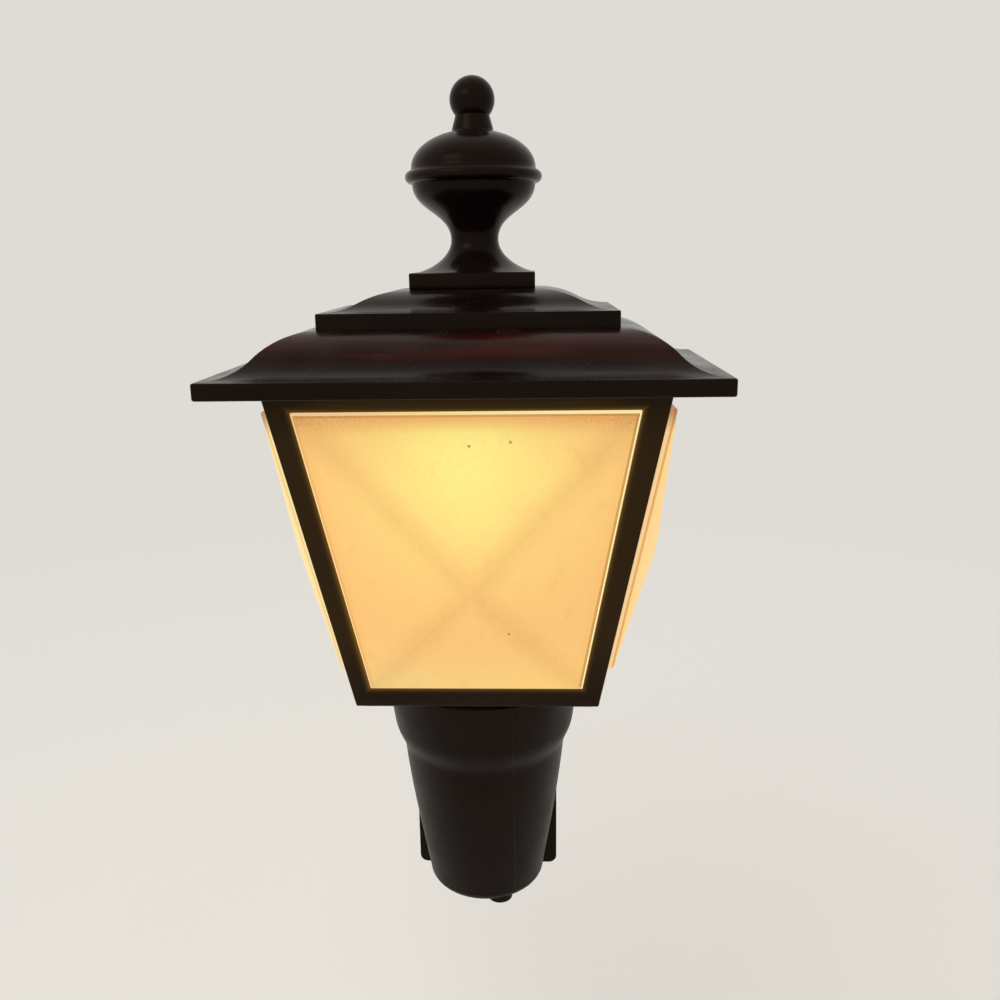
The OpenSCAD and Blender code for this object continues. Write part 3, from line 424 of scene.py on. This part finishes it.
brass = make_metal("rolled_brass", "#BD9B58", "#CBAA66", 0.2, 0.3, 6.0)
nickel = make_metal("nickel_plate", "#B9B4A8", "#D6D2C8", 0.12, 0.26, 7.0)
zinc = make_metal("zinc_plated_steel", "#9A9CA0", "#BFC1C4", 0.26, 0.42, 3.0)
tungsten = make_metal("drawn_tungsten", "#5A534C", "#6E655C", 0.35, 0.5, 1.0)
hot_wire = tungsten.node_tree.nodes["Principled BSDF"]
hot_wire.inputs["Emission Color"].default_value = colour("#FFD48A")
hot_wire.inputs["Emission Strength"].default_value = 6.0
print("made", [m.name for m in (brass, nickel, zinc, tungsten)])

# %% Board
phenolic, tree, shader, place = new_material("pressed_phenolic_board", Roughness=0.5, IOR=1.6)
# Paper fibres in the resin, 0.6 mm long
fibres = add(tree, "TexNoise", {"Vector": place, "Scale": per_mm(0.6), "Detail": 5.0})
pressed = add(tree, "MapRange", {0: fibres, 1: 0.35, 2: 0.65})
board = add(tree, "Mix", {0: pressed, 6: colour("#43291A"), 7: colour("#5C3A25")}, data_type="RGBA")
tree.links.new(board.outputs[2], shader.inputs["Base Color"])
weave = add(tree, "Bump", {"Height": fibres, "Strength": 0.5, "Distance": 0.02 * MM})
tree.links.new(weave.outputs[0], shader.inputs["Normal"])
print("made", phenolic.name)


# %% Glass
def make_glass(name, tone, transmission, polished, dull):
    material, tree, shader, place = new_material(name, Base_Color=colour(tone), IOR=1.5,
                                                 Transmission_Weight=transmission)
    # Finger marks and drawing lines, about 5 mm wide, dull the polish a little
    marks = add(tree, "TexNoise", {"Vector": place, "Scale": per_mm(5), "Detail": 3.0})
    rough = add(tree, "MapRange", {0: marks, 1: 0.35, 2: 0.7, 3: polished, 4: dull})
    tree.links.new(rough.outputs[0], shader.inputs["Roughness"])
    return material


clear_glass = make_glass("soda_lime_glass", "#FFFFFF", 1.0, 0.0, 0.05)
black_glass = make_glass("black_vitrite", "#0B0B0D", 0.0, 0.08, 0.25)
print("made", clear_glass.name, "and", black_glass.name)

# %% [markdown]
# ## Making pieces
# Every new piece is a bmesh that ends up as an object at the origin, with its place in its mesh. Curved
# faces are shaded smooth and edges over 35 degrees stay crisp. A section drawn as (radius, height) pairs and
# spun once makes the turned pieces. Real mouldings have no knife edges, so a helper rounds the corners
# of a section before it is spun or swept.

# %% Helpers for pieces
def publish(bm, name, body, material, stands_for=(), crisp=35):
    bmesh.ops.remove_doubles(bm, verts=bm.verts, dist=0.001 * MM)
    bmesh.ops.recalc_face_normals(bm, faces=bm.faces)
    mesh = bpy.data.meshes.new(name)
    bm.to_mesh(mesh)
    bm.free()
    mesh.materials.append(material)
    mesh.polygons.foreach_set("use_smooth", [True] * len(mesh.polygons))
    mesh.set_sharp_from_angle(angle=math.radians(crisp))
    piece = put_in_scene(name, mesh)
    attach(piece, body)
    for node in stands_for:
        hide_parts(node)
    print(name, len(mesh.polygons), "faces")
    return piece


def bezier(p, steps=14):
    curve = []
    for i in range(steps + 1):
        t = i / steps
        weights = ((1 - t) ** 3, 3 * t * (1 - t) ** 2, 3 * t * t * (1 - t), t ** 3)
        curve.append(tuple(sum(w * q[k] for w, q in zip(weights, p)) for k in (0, 1)))
    return curve


def arc(centre, radius, start, end, steps=10):
    angles = [math.radians(start + (end - start) * i / steps) for i in range(steps + 1)]
    return [(centre[0] + radius * math.cos(a), centre[1] + radius * math.sin(a)) for a in angles]


def softened(points, radius, steps=3):
    """Rounds each corner of a section that turns more than 25 degrees."""
    rounded = [points[0]]
    for before, corner, after in zip(points, points[1:], points[2:]):
        here = Vector(corner)
        back, ahead = Vector(before) - here, Vector(after) - here
        if back.length < 1e-6 or ahead.length < 1e-6 or math.degrees(math.pi - back.angle(ahead)) < 25:
            rounded.append(corner)
            continue
        reach = min(radius, 0.45 * back.length, 0.45 * ahead.length)
        start, end = here + back.normalized() * reach, here + ahead.normalized() * reach
        for i in range(steps + 1):
            t = i / steps
            rounded.append(tuple((1 - t) ** 2 * start + 2 * t * (1 - t) * here + t * t * end))
    return rounded + [points[-1]]


def spin_section(bm, points, centre, steps=96, angle=360.0, climb=0.0):
    verts = [bm.verts.new(mm(centre[0] + r, centre[1], z)) for r, z in points]
    edges = [bm.edges.new(pair) for pair in zip(verts, verts[1:])]
    bmesh.ops.spin(bm, geom=verts + edges, cent=mm(centre[0], centre[1], 0), axis=(0, 0, 1),
                   angle=math.radians(angle), steps=steps, dvec=(0, 0, climb * MM / steps),
                   use_merge=angle == 360.0 and climb == 0.0)
    bmesh.ops.remove_doubles(bm, verts=bm.verts, dist=0.001 * MM)


def cut_flat(bm, y):
    """Cuts off what lies behind y, and closes the cut."""
    geometry = bm.verts[:] + bm.edges[:] + bm.faces[:]
    bmesh.ops.bisect_plane(bm, geom=geometry, plane_co=mm(0, y, 0), plane_no=(0, 1, 0), clear_outer=True)
    rim = [e for e in bm.edges if e.is_boundary and all(abs(v.co.y - y * MM) < 1e-7 for v in e.verts)]
    bmesh.ops.triangle_fill(bm, edges=rim, use_beauty=True, use_dissolve=True)


def round_edges(bm, edges, round_mm, segments):
    bmesh.ops.bevel(bm, geom=edges, offset=round_mm * MM, offset_type="OFFSET", segments=segments,
                    profile=0.5, affect="EDGES", material=-1)


def add_block(bm, low, high, round_mm, segments):
    cube = bmesh.ops.create_cube(bm, size=1.0)["verts"]
    low, high = mm(*low), mm(*high)
    bmesh.ops.scale(bm, vec=high - low, verts=cube)
    bmesh.ops.translate(bm, vec=(low + high) / 2, verts=cube)
    round_edges(bm, list({e for v in cube for e in v.link_edges}), round_mm, segments)


# %% [markdown]
# ## The roof
# The roof is one moulding in two tiers. Each tier starts with a flat edge band and climbs in an ogee, a
# hollow curve that turns into a round one, and the sides meet in mitred hips. It could be cut from a
# block, but a moulding is a section carried round a plan, so the section is swept round the three sides:
# an open loop of edges is extruded again and again, and each new loop goes to its own setback from the
# eave and its own height. The hollow below is the same section, drawn in by the wall.

# %% Roof
back_y = -8.0
axis_y = -11.1
eave_half = 29.3
eave_front = axis_y - eave_half
eave_z = 65.9
roof_top_z = 76.75


def ogee(start, run, rise, inside, steps=14):
    bend = 2 * math.atan2(rise, run)
    hollow = 0.42 * run / math.sin(bend)
    round_ = 0.58 * run / math.sin(bend)
    curve = []
    for i in range(steps + 1):
        a = bend * i / steps
        curve.append((start[0] + (hollow + inside) * math.sin(a),
                      start[1] + hollow - (hollow + inside) * math.cos(a)))
    for i in range(steps - 1, -1, -1):
        a = bend * i / steps
        curve.append((start[0] + run - (round_ - inside) * math.sin(a),
                      start[1] + rise - round_ + (round_ - inside) * math.cos(a)))
    return curve


eave_top_z, band_low_z, band_top_z, band_in = 67.9, 72.55, 74.45, 11.4


def roof_section(inside, top):
    low = ogee((0.8, eave_top_z), 10.6, band_low_z - eave_top_z, inside)
    high = [p for p in ogee((11.8, band_top_z), 9.15, roof_top_z - band_top_z, inside)
            if p[0] > band_in + inside]
    band = [(band_in + inside, band_low_z - inside), (band_in + inside, band_top_z - inside)]
    return [(inside, eave_top_z - inside)] + low + band + high + [(top, roof_top_z - inside)]


def plan_corner(setback, height, hip_round=0.22):
    """The open plan of one loop: back left, round the two front corners, back right."""
    x, y = eave_half - setback, eave_front + setback
    bend = min(hip_round, 0.4 * x)
    right = [(x - bend + bend * math.cos(a), y + bend - bend * math.sin(a))
             for a in (math.radians(d) for d in (90, 60, 30, 0))]
    return [mm(-x, back_y, height)] + [mm(-px, py, height) for px, py in reversed(right)] \
        + [mm(px, py, height) for px, py in right] + [mm(x, back_y, height)]


def sweep(bm, section):
    loop = [bm.verts.new(co) for co in plan_corner(*section[0])]
    edges = [bm.edges.new(pair) for pair in zip(loop, loop[1:])]
    first = loop
    for point in section[1:]:
        step = bmesh.ops.extrude_edge_only(bm, edges=edges)["geom"]
        fresh = [v for v in step if isinstance(v, bmesh.types.BMVert)]
        order = {tuple(round(c, 9) for c in v.co): i for i, v in enumerate(loop)}
        fresh.sort(key=lambda v: order[tuple(round(c, 9) for c in v.co)])
        for vert, co in zip(fresh, plan_corner(*point)):
            vert.co = co
        edges = [e for e in step if isinstance(e, bmesh.types.BMEdge)
                 and e.verts[0] in fresh and e.verts[1] in fresh]
        loop = fresh
    return first, loop


soffit_in = eave_half - 21.7
wall = 1.6
top_in = 22.0
outer = softened([(soffit_in, eave_z), (0.0, eave_z)] + roof_section(0.0, top_in), 0.28)
under = [p for p in roof_section(wall, top_in) if p[0] > soffit_in]
section = [(top_in, roof_top_z - wall)] + under[-2::-1] + [(soffit_in, under[0][1])] + outer

bm = bmesh.new()
inner_loop, top_loop = sweep(bm, section)
for cap in (inner_loop, top_loop):
    bmesh.ops.contextual_create(bm, geom=cap)
bmesh.ops.remove_doubles(bm, verts=bm.verts, dist=0.001 * MM)
back = [e for e in bm.edges if e.is_boundary]
bmesh.ops.triangle_fill(bm, edges=back, use_beauty=True, use_dissolve=True)
publish(bm, "roof_moulding", "lantern", brown, ["roof"], crisp=28)

# %% [markdown]
# ## The finial
# The finial is a turned urn on a square plinth. The stem sweeps in and out again into the bowl, a
# rounded rim runs between bowl and dome, and a ball sits on a collar. The half lantern's flat back cuts
# it, and the urn is cored out from behind, as moulders do to keep the walls even. One section spun
# round the axis makes the outside, a second one the core, and a plane cuts both.

# %% Finial
plinth_z = 78.78


def dome(a, shrink=0.0, drop=0.0):
    return (8.1 * math.cos(a) - shrink, plinth_z + 13.04 + 4.75 * math.sin(a) - drop)


foot = bezier([(7.6, plinth_z), (5.2, plinth_z + 0.6), (3.12, plinth_z + 2.3), (3.12, plinth_z + 4.1)], 18)
bowl = bezier([(3.12, plinth_z + 4.1), (3.12, plinth_z + 7.6), (7.9, plinth_z + 7.6),
               (8.05, plinth_z + 11.1)], 22)
rim = arc((8.1, plinth_z + 11.95), 0.82, -80, 80, 12)
crown = [dome(math.radians(70.5 * i / 16)) for i in range(17)]
waist_z = crown[-1][1] + 1.95
ball_r, collar_r = 2.9, 2.2
ball_z = waist_z + math.sqrt(ball_r ** 2 - collar_r ** 2)
ball = arc((0, ball_z), ball_r, math.degrees(math.asin((waist_z - ball_z) / ball_r)) + 2, 90, 20)
collar = [(2.65, waist_z - 1.56), (collar_r, waist_z)]
outside = [(0, plinth_z - 0.05), (7.6, plinth_z - 0.05)] + foot + bowl[1:] + rim + crown + collar \
    + ball[:-1] + [(0, ball_z + ball_r)]
core = [(0, plinth_z + 8.3)] + [(r - 1.8, z + 0.6) for r, z in bowl if z > plinth_z + 7.7] \
    + [dome(math.radians(3 * i), 1.8, 0.9) for i in range(0, 17)] + [(0, plinth_z + 15.7)]

bm = bmesh.new()
spin_section(bm, softened(outside, 0.15), (0, axis_y), 112)
spin_section(bm, softened(core, 0.4), (0, axis_y), 64)
cut_flat(bm, back_y)
plinth_half = 7.95
add_block(bm, (-plinth_half, axis_y - plinth_half, roof_top_z), (plinth_half, back_y, plinth_z), 0.18, 3)
publish(bm, "finial_turned", "lantern", brown, ["finial"], crisp=32)

# %% [markdown]
# ## The window frame
# The frame is a tapered ring of four flat bars that leans back towards its foot. Its outline and its
# opening are two loops on one slanted plane. They are bridged into a ring, the ring is pulled back by
# the frame's depth, and every edge gets a small bevel that catches a line of light.

# %% Window frame
def front_at(z):
    return axis_y - half_width(z)


def ring_edges(bm, corners):
    verts = [bm.verts.new(mm(*c)) for c in corners]
    return [bm.edges.new((verts[i - 1], verts[i])) for i in range(len(verts))]


def upright_corners(z0, z1, half, y, extra=0.0):
    return [(-half(z0), y(z0), z0), (half(z0), y(z0), z0),
            (half(z1), y(z1), z1), (-half(z1) - extra, y(z1), z1)]


# The bars stand a little past the shade on each side
overhang = 0.22


def frame_half(z):
    return half_width(z) + overhang


bm = bmesh.new()
outline = ring_edges(bm, upright_corners(foot_z, eave_z, frame_half, front_at))
# The opening's top left corner is cut a little wider than its right one
left_extra = 0.3
opening = ring_edges(bm, upright_corners(win_low, win_high, window_half, front_at, left_extra))
bmesh.ops.bridge_loops(bm, edges=outline + opening)
ring = bmesh.ops.extrude_face_region(bm, geom=bm.faces[:])["geom"]
frame_depth = 2.0
pulled = [v for v in ring if isinstance(v, bmesh.types.BMVert)]
bmesh.ops.translate(bm, vec=mm(0, frame_depth, 0), verts=pulled)
bmesh.ops.recalc_face_normals(bm, faces=bm.faces)
foot_corners = [e for e in bm.edges if abs((e.verts[0].co - e.verts[1].co).normalized().y) > 0.99
                and e.verts[0].co.z < 24 * MM]
round_edges(bm, foot_corners, 0.2, 3)
round_edges(bm, [e for e in bm.edges if e.calc_face_angle(0) > math.radians(40)], 0.22, 3)
publish(bm, "window_frame", "lantern", lit_brown, ["front_frame"], crisp=50)

# %% [markdown]
# ## The shade
# The shade is one tapered moulding with a front and two sides, open at the back. Each side carries a pane
# that comes through the frame, has a narrow bevelled rim, and rises in four facets to a peak, as cut glass
# does. Three quads make the walls. In each of them a face is inset, pushed out to the rim, narrowed by the
# bevel, and poked in the middle for the peak. The front's last face is inset once more, and that narrow
# ring holds a painted shadow line in the crease. A Solidify modifier gives the wall its thickness, so that
# the inside follows the outside, and a Bevel modifier softens the ridges. A face attribute marks the rims.

# %% Shade walls
shade_in = 0.3
shade_front = 2.05


def shade_loop(z):
    x, y = half_width(z) - shade_in, front_at(z) + shade_front
    return [mm(-x, back_y, z), mm(-x, y, z), mm(x, y, z), mm(x, back_y, z)]


bm = bmesh.new()
rim_layer = bm.faces.layers.float.new("rim")
low_loop = [bm.verts.new(co) for co in shade_loop(foot_z + 0.02)]
low_edges = [bm.edges.new(pair) for pair in zip(low_loop, low_loop[1:])]
raised = bmesh.ops.extrude_edge_only(bm, edges=low_edges)["geom"]
for vert in [v for v in raised if isinstance(v, bmesh.types.BMVert)]:
    corner = min(range(4), key=lambda i: (low_loop[i].co - vert.co).length)
    vert.co = shade_loop(eave_z - 0.02)[corner]
bmesh.ops.recalc_face_normals(bm, faces=bm.faces)
left_wall = min(bm.faces, key=lambda f: f.calc_center_median().x)
right_wall = max(bm.faces, key=lambda f: f.calc_center_median().x)
front_wall = min(bm.faces, key=lambda f: f.calc_center_median().y)
if front_wall.normal.y > 0:
    bmesh.ops.reverse_faces(bm, faces=bm.faces)
print("shade walls:", len(bm.faces))


# %% Shade panes
def in_order(verts, targets):
    """Puts a face's corners in the order of the points that lie the same way from the middle."""
    middle = sum((v.co for v in verts), Vector()) / len(verts)
    aim = sum((mm(*t) for t in targets), Vector()) / len(targets)
    left, ordered = list(verts), []
    for target in targets:
        way = (mm(*target) - aim).normalized()
        ordered.append(max(left, key=lambda v: (v.co - middle).normalized().dot(way)))
        left.remove(ordered[-1])
    return ordered


def move_corners(face, targets):
    for vert, target in zip(in_order(face.verts, targets), targets):
        vert.co = mm(*target)


def push_out(bm, face, targets):
    top = bmesh.ops.extrude_discrete_faces(bm, faces=[face])["faces"][0]
    move_corners(top, targets)
    return top, [side for edge in top.edges for side in edge.link_faces if side is not top]


def raise_pane(bm, face, base, shoulder, border, peak, rim_layer, line, crease_mm=0.0):
    bmesh.ops.inset_individual(bm, faces=[face], thickness=0.5 * MM)
    move_corners(face, base)
    top, walls = push_out(bm, face, shoulder)
    top, bevels = push_out(bm, top, border)
    for side in walls:
        side[rim_layer] = 1.0
    for side in bevels:
        side[rim_layer] = line
    if crease_mm:
        middle = top.calc_center_median()
        for side in bmesh.ops.inset_individual(bm, faces=[top], thickness=crease_mm * MM)["faces"]:
            way = (side.calc_center_median() - middle).normalized()
            side[rim_layer] = -1.0 if way.x > 0.7 else -0.75 if way.z > 0.7 else -0.3 if way.x < -0.7 else 0.0
    bmesh.ops.poke(bm, faces=[top])["verts"][0].co = mm(*peak)


bevel_mm, clear_mm, proud_foot, proud_head = 0.22, 0.1, 0.45, 0.2
z0, z1 = win_low + clear_mm, win_high - clear_mm


def front_ring(shrink, low_depth, high_depth):
    return upright_corners(z0 + shrink, z1 - shrink, lambda z: window_half(z) - clear_mm - shrink,
                           lambda z: front_at(z) + (low_depth if z < pane_peak_z else high_depth), left_extra)


front_peak, front_crease_mm = 3.95, 0.46
raise_pane(bm, front_wall, front_ring(0, shade_front, shade_front), front_ring(0, -0.1, 0.05),
           front_ring(bevel_mm, -proud_foot, -proud_head),
           (0, front_at(pane_peak_z) - front_peak, pane_peak_z), rim_layer, 1.0, front_crease_mm)

side_low, side_high, side_far = foot_z + 5.2, eave_z - 2.6, back_y - 2.5
proud_low, proud_high, side_near = 1.28, 1.38, 2.2
side_peak, side_bevel = 4.2, 0.35
side_peak_z = side_low + 0.43 * (side_high - side_low)
near_mid = front_at(side_peak_z) + side_near


def side_ring(sign, grow, low_proud, high_proud):
    low, high, far = side_low - grow, side_high + grow, side_far + grow
    near_low, near_high = (front_at(z) + side_near - grow for z in (low, high))
    return [(sign * (half_width(z) + proud), y, z)
            for z, proud, y in ((low, low_proud, near_low), (low, low_proud, far),
                                (high, high_proud, far), (high, high_proud, near_high))]


for wall_face, sign in ((left_wall, -1), (right_wall, 1)):
    peak = (sign * (half_width(side_peak_z) + side_peak), near_mid + 0.36 * (side_far - near_mid),
            side_peak_z)
    raise_pane(bm, wall_face, side_ring(sign, bevel_mm, -shade_in, -shade_in),
               side_ring(sign, bevel_mm, proud_low - side_bevel, proud_high - side_bevel),
               side_ring(sign, 0, proud_low, proud_high), peak, rim_layer, 0.5)

# %% Shade thickness
print("shade sheet:", len(bm.faces), "faces before its wall")
shade = publish(bm, "amber_shade", "lantern", amber, ["shade"], crisp=30)
thickness = shade.modifiers.new("wall", "SOLIDIFY")
thickness.thickness = 1.2 * MM
thickness.offset = -1.0
thickness.use_even_offset = True
soft = shade.modifiers.new("soft edges", "BEVEL")
soft.width = 0.15 * MM
soft.segments = 2
soft.limit_method = "ANGLE"
soft.angle_limit = math.radians(9)

# %% [markdown]
# ## The bulb
# The bulb is a C7 night-light lamp: a flame-shaped glass on a small threaded base. The glass is a spun
# section with a real wall, so that it bends light twice. The thread is rolled into thin sheet, so it is a
# wave that climbs one pitch a turn. A spin can climb as it turns, so one wave of the section, spun
# several turns, makes a true helix. The filament is a fine coil, made the same way.

# %% Bulb
bulb_y = -13.6
tip_z = 8.0
bulb_len = 54.0
bulb_top_z = tip_z + bulb_len
belly_z = tip_z + 0.59 * bulb_len
neck_z = tip_z + 11.6
neck_r, belly_r, glass_wall = 5.2, 11, 0.6


def glass_line(inside):
    neck, belly = neck_r - inside, belly_r - inside
    lower = bezier([(neck, neck_z), (neck, neck_z + 5), (belly, belly_z - 9), (belly, belly_z)], 26)
    upper = bezier([(belly, belly_z), (belly, belly_z + 8), (4.6 - inside, bulb_top_z - 4 - inside),
                    (1.1, bulb_top_z - 0.7 - inside)], 26)
    tip = bezier([(1.1, bulb_top_z - 0.7 - inside), (0.9, bulb_top_z - 0.2 - inside),
                  (0.4, bulb_top_z - inside), (0, bulb_top_z - inside)], 6)
    return lower + upper[1:] + tip[1:]


bm = bmesh.new()
spin_section(bm, glass_line(0) + glass_line(glass_wall)[::-1] + [(neck_r, neck_z)], (0, bulb_y), 96)
glass = publish(bm, "bulb_envelope", "bulb", clear_glass, ["bulb_glass"])
glass.visible_shadow = False


def wave(base_z, mean, depth, pitch, steps=14):
    return [(mean + depth * math.cos(2 * math.pi * i / steps), base_z + pitch * i / steps)
            for i in range(steps + 1)]


# Bulb and socket count their crests from one height, so that the one thread nests in the other
thread_start = tip_z + 3.0


def threaded_sleeve(bm, mean, depth, low, high, pitch=2.54):
    first = thread_start - pitch * (math.ceil((thread_start - low) / pitch) + 2)
    turns = math.ceil((high - first) / pitch)
    spin_section(bm, wave(first, mean, depth, pitch), (0, bulb_y), 48 * turns, 360.0 * turns, pitch * turns)
    bmesh.ops.remove_doubles(bm, verts=bm.verts, dist=0.004 * MM)
    for z, way in ((low, -1), (high, 1)):
        bmesh.ops.bisect_plane(bm, geom=bm.verts[:] + bm.edges[:] + bm.faces[:], plane_co=mm(0, 0, z),
                               plane_no=(0, 0, way), clear_outer=True)


base_low, base_high = thread_start, neck_z + 0.1
# The thread is a wave of 0.25 mm to each side of a mean radius, and the shell's is wider than the cap's
thread_depth, cap_r, shell_r = 0.25, 5.72, 6.05
bm = bmesh.new()
threaded_sleeve(bm, cap_r, thread_depth, base_low, base_high)
heel = [(4.3, base_low - 0.9), (5.2, base_low - 0.6), (5.55, base_low - 0.2), (5.62, base_low + 0.1)]
shoulder = [(5.7, base_high - 0.1), (5.9, base_high + 0.3), (6.0, base_high + 0.7), (6.0, base_high + 1.6),
            (5.85, base_high + 1.7), (5.5, base_high + 1.6), (5.5, base_high + 0.2)]
spin_section(bm, heel, (0, bulb_y), 72)
spin_section(bm, softened(shoulder, 0.2), (0, bulb_y), 72)
publish(bm, "bulb_cap", "bulb", nickel, ["bulb_base"])


# %% Filament
def coil(bm, start, end, coil_r, wire_r, turns):
    section = bmesh.ops.create_circle(bm, segments=8, radius=wire_r * MM)["verts"]
    bmesh.ops.rotate(bm, verts=section, cent=(0, 0, 0), matrix=Matrix.Rotation(math.pi / 2, 3, "X"))
    bmesh.ops.translate(bm, verts=section, vec=mm(coil_r, 0, 0))
    edges = list({e for v in section for e in v.link_edges})
    before = set(bm.verts) - set(section)
    steps = 12 * turns
    length = (end - start).length
    bmesh.ops.spin(bm, geom=section + edges, cent=(0, 0, 0), axis=(0, 0, 1), angle=2 * math.pi * turns,
                   steps=steps, dvec=(0, 0, length / steps), use_merge=False)
    turned = [v for v in bm.verts if v not in before]
    way = (end - start).to_track_quat("Z", "Y").to_matrix()
    bmesh.ops.rotate(bm, verts=turned, cent=(0, 0, 0), matrix=way)
    bmesh.ops.translate(bm, verts=turned, vec=start)


arch_low, arch_high = tip_z + 38.45, tip_z + 41.65
bm = bmesh.new()
for side in (-1, 1):
    coil(bm, mm(side * 3.2, bulb_y, arch_low), mm(0, bulb_y, arch_high), 0.24, 0.07, 16)
publish(bm, "filament_coil", "bulb", tungsten, ["filament"])

# %% [markdown]
# ## The screw shell
# The shell in the socket is drawn from thin brass with the same rolled thread, a little wider than the
# bulb's, and a flange that a rivet holds on the board. It is made as the bulb's base is, and a Solidify
# modifier gives the sheet its thickness. Both threads count their crests from one height, so the bulb's
# crests lie in the shell's.

# %% Screw shell
shell_low, shell_high = 6.2, 19.6
bm = bmesh.new()
threaded_sleeve(bm, shell_r, thread_depth, shell_low + 0.9, shell_high - 0.7)
flange = [(3.75, shell_low), (shell_r, shell_low), (shell_r, shell_low + 1.0)]
spin_section(bm, softened(flange, 0.3), (0, bulb_y), 72)
spin_section(bm, softened([(6.1, shell_high - 0.8), (6.3, shell_high - 0.3), (6.3, shell_high)], 0.2),
             (0, bulb_y), 72)
bmesh.ops.remove_doubles(bm, verts=bm.verts, dist=0.001 * MM)
shell = publish(bm, "screw_shell", "lantern", brass, ["socket_shell"])
sheet = shell.modifiers.new("sheet", "SOLIDIFY")
sheet.thickness = 0.28 * MM
sheet.offset = 1.0

# %% [markdown]
# ## Finishes for the other pieces
# The neck, the plug and the small electric parts keep their CAD solids, which already have the right
# shape. Each gets the material of what it is made of.

# %% CAD pieces
finishes = {
    "neck_housing": parted_brown, "plug_body": brown, "cover_screw": zinc, "blade_left": brass,
    "blade_right": brass, "blade_rivets": nickel, "neutral_strap": brass, "live_strap": brass,
    "contact_base": phenolic, "socket_rivets": nickel, "centre_contact": brass, "base_insulator": black_glass,
    "base_contact": nickel, "stem_mount": clear_glass, "lead_wires": nickel,
}
for name, material in finishes.items():
    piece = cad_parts[name]
    piece.data.materials.clear()
    piece.data.materials.append(material)
print("finished", len(finishes), "CAD pieces")

# %% [markdown]
# ## Floor, light and background
# The lamp is shown in a plain studio. A pale floor lies well below it, as it hangs on a wall in use. Area
# lamps so near a small object would leave a bright pool on the floor, so the soft lamps are suns with a
# wide disc: a key from the upper left and a weaker fill from the right. Glossy dark plastic shows what
# stands around it more than its own colour, so the world is bright behind the lamp, as a lit wall is, and
# dimmer in front. That draws light lines along the edges. The filament lights the inside.

# %% Floor
pale_hex = "#DFDCD6"


def shows_background(tree):
    """1 for rays that show what is behind the lamp: from the camera, off gloss and through glass."""
    ray = add(tree, "LightPath")
    mirrored = add(tree, "Math", {0: ray.outputs["Is Camera Ray"], 1: ray.outputs["Is Glossy Ray"]},
                   operation="MAXIMUM")
    return add(tree, "Math", {0: mirrored, 1: ray.outputs["Is Transmission Ray"]}, operation="MAXIMUM")


bm = bmesh.new()
bmesh.ops.create_circle(bm, cap_ends=True, segments=96, radius=4.0)
bmesh.ops.translate(bm, verts=bm.verts, vec=mm(0, 0, -75))
floor_mesh = bpy.data.meshes.new("floor")
bm.to_mesh(floor_mesh)
bm.free()
floor = put_in_scene("floor", floor_mesh)
paper, tree, shader, place = new_material("pale_paper", Roughness=0.9, Specular_IOR_Level=0.1)
shader.inputs["Base Color"].default_value = colour("#E0DDD7")
# Far from the lamp the paper fades into the background, so that no horizon shows
flat = add(tree, "VectorMath", {0: place, 1: (1, 1, 0)}, operation="MULTIPLY")
far = add(tree, "VectorMath", {0: flat}, operation="LENGTH").outputs["Value"]
distant = add(tree, "MapRange", {0: far, 1: 0.08, 2: 0.45})
fade = add(tree, "Math", {0: distant, 1: shows_background(tree)}, operation="MULTIPLY")
backdrop = add(tree, "Emission", {"Color": colour(pale_hex)})
mix = add(tree, "MixShader", {0: fade, 1: shader, 2: backdrop})
tree.links.new(mix.outputs[0], tree.nodes["Material Output"].inputs["Surface"])
floor_mesh.materials.append(paper)


# %% Lamps and world
def soft_sun(name, direction, strength, width, tone):
    lamp = bpy.data.lights.new(name, "SUN")
    lamp.energy = strength
    lamp.angle = math.radians(width)
    lamp.color = colour(tone)[:3]
    sun = put_in_scene(name, lamp)
    sun.rotation_euler = Vector(direction).to_track_quat("-Z", "Y").to_euler()
    return sun


soft_sun("key", (0.55, 0.62, -0.75), 3.2, 75, "#FFFDF8").visible_glossy = False
soft_sun("fill", (-0.80, 0.60, -0.25), 1.0, 90, "#F3F5FF").visible_glossy = False

# A softbox that only draws the highlights on the gloss
softbox = bpy.data.lights.new("softbox", "AREA")
softbox.shape = "RECTANGLE"
softbox.size, softbox.size_y = 0.34, 0.22
softbox.energy = 0.35
highlight = put_in_scene("softbox", softbox)
highlight.location = mm(-330, -420, 420)
highlight.rotation_euler = (mm(0, -20, 60) - highlight.location).to_track_quat("-Z", "Y").to_euler()
highlight.visible_camera = False

bulb_light = bpy.data.lights.new("filament_light", "POINT")
bulb_light.energy = 0.004
bulb_light.shadow_soft_size = 3 * MM
bulb_light.color = colour("#FFC777")[:3]
glower = put_in_scene("filament_light", bulb_light)
glower.location = mm(0, bulb_y, 48)
# Only the wire itself shows in the glass, not the ball of this lamp
glower.visible_camera = glower.visible_glossy = glower.visible_transmission = False

world = bpy.data.worlds.new("studio")
bpy.context.scene.world = world
world.use_nodes = True
tree = world.node_tree
background = tree.nodes["Background"]
ways = add(tree, "SeparateXYZ", {0: add(tree, "TexCoord").outputs["Generated"]})
behind = add(tree, "MapRange", {0: ways.outputs[1], 1: 0.2, 2: 1.0})
around = add(tree, "Mix", {0: behind, 6: colour("#6C6D72"), 7: colour("#F4EEE2")}, data_type="RGBA")
sky = add(tree, "Mix", {0: shows_background(tree), 6: around.outputs[2], 7: colour(pale_hex)},
          data_type="RGBA")
tree.links.new(sky.outputs[2], background.inputs["Color"])
background.inputs["Strength"].default_value = 1.0
bpy.context.scene.view_settings.view_transform = "Standard"
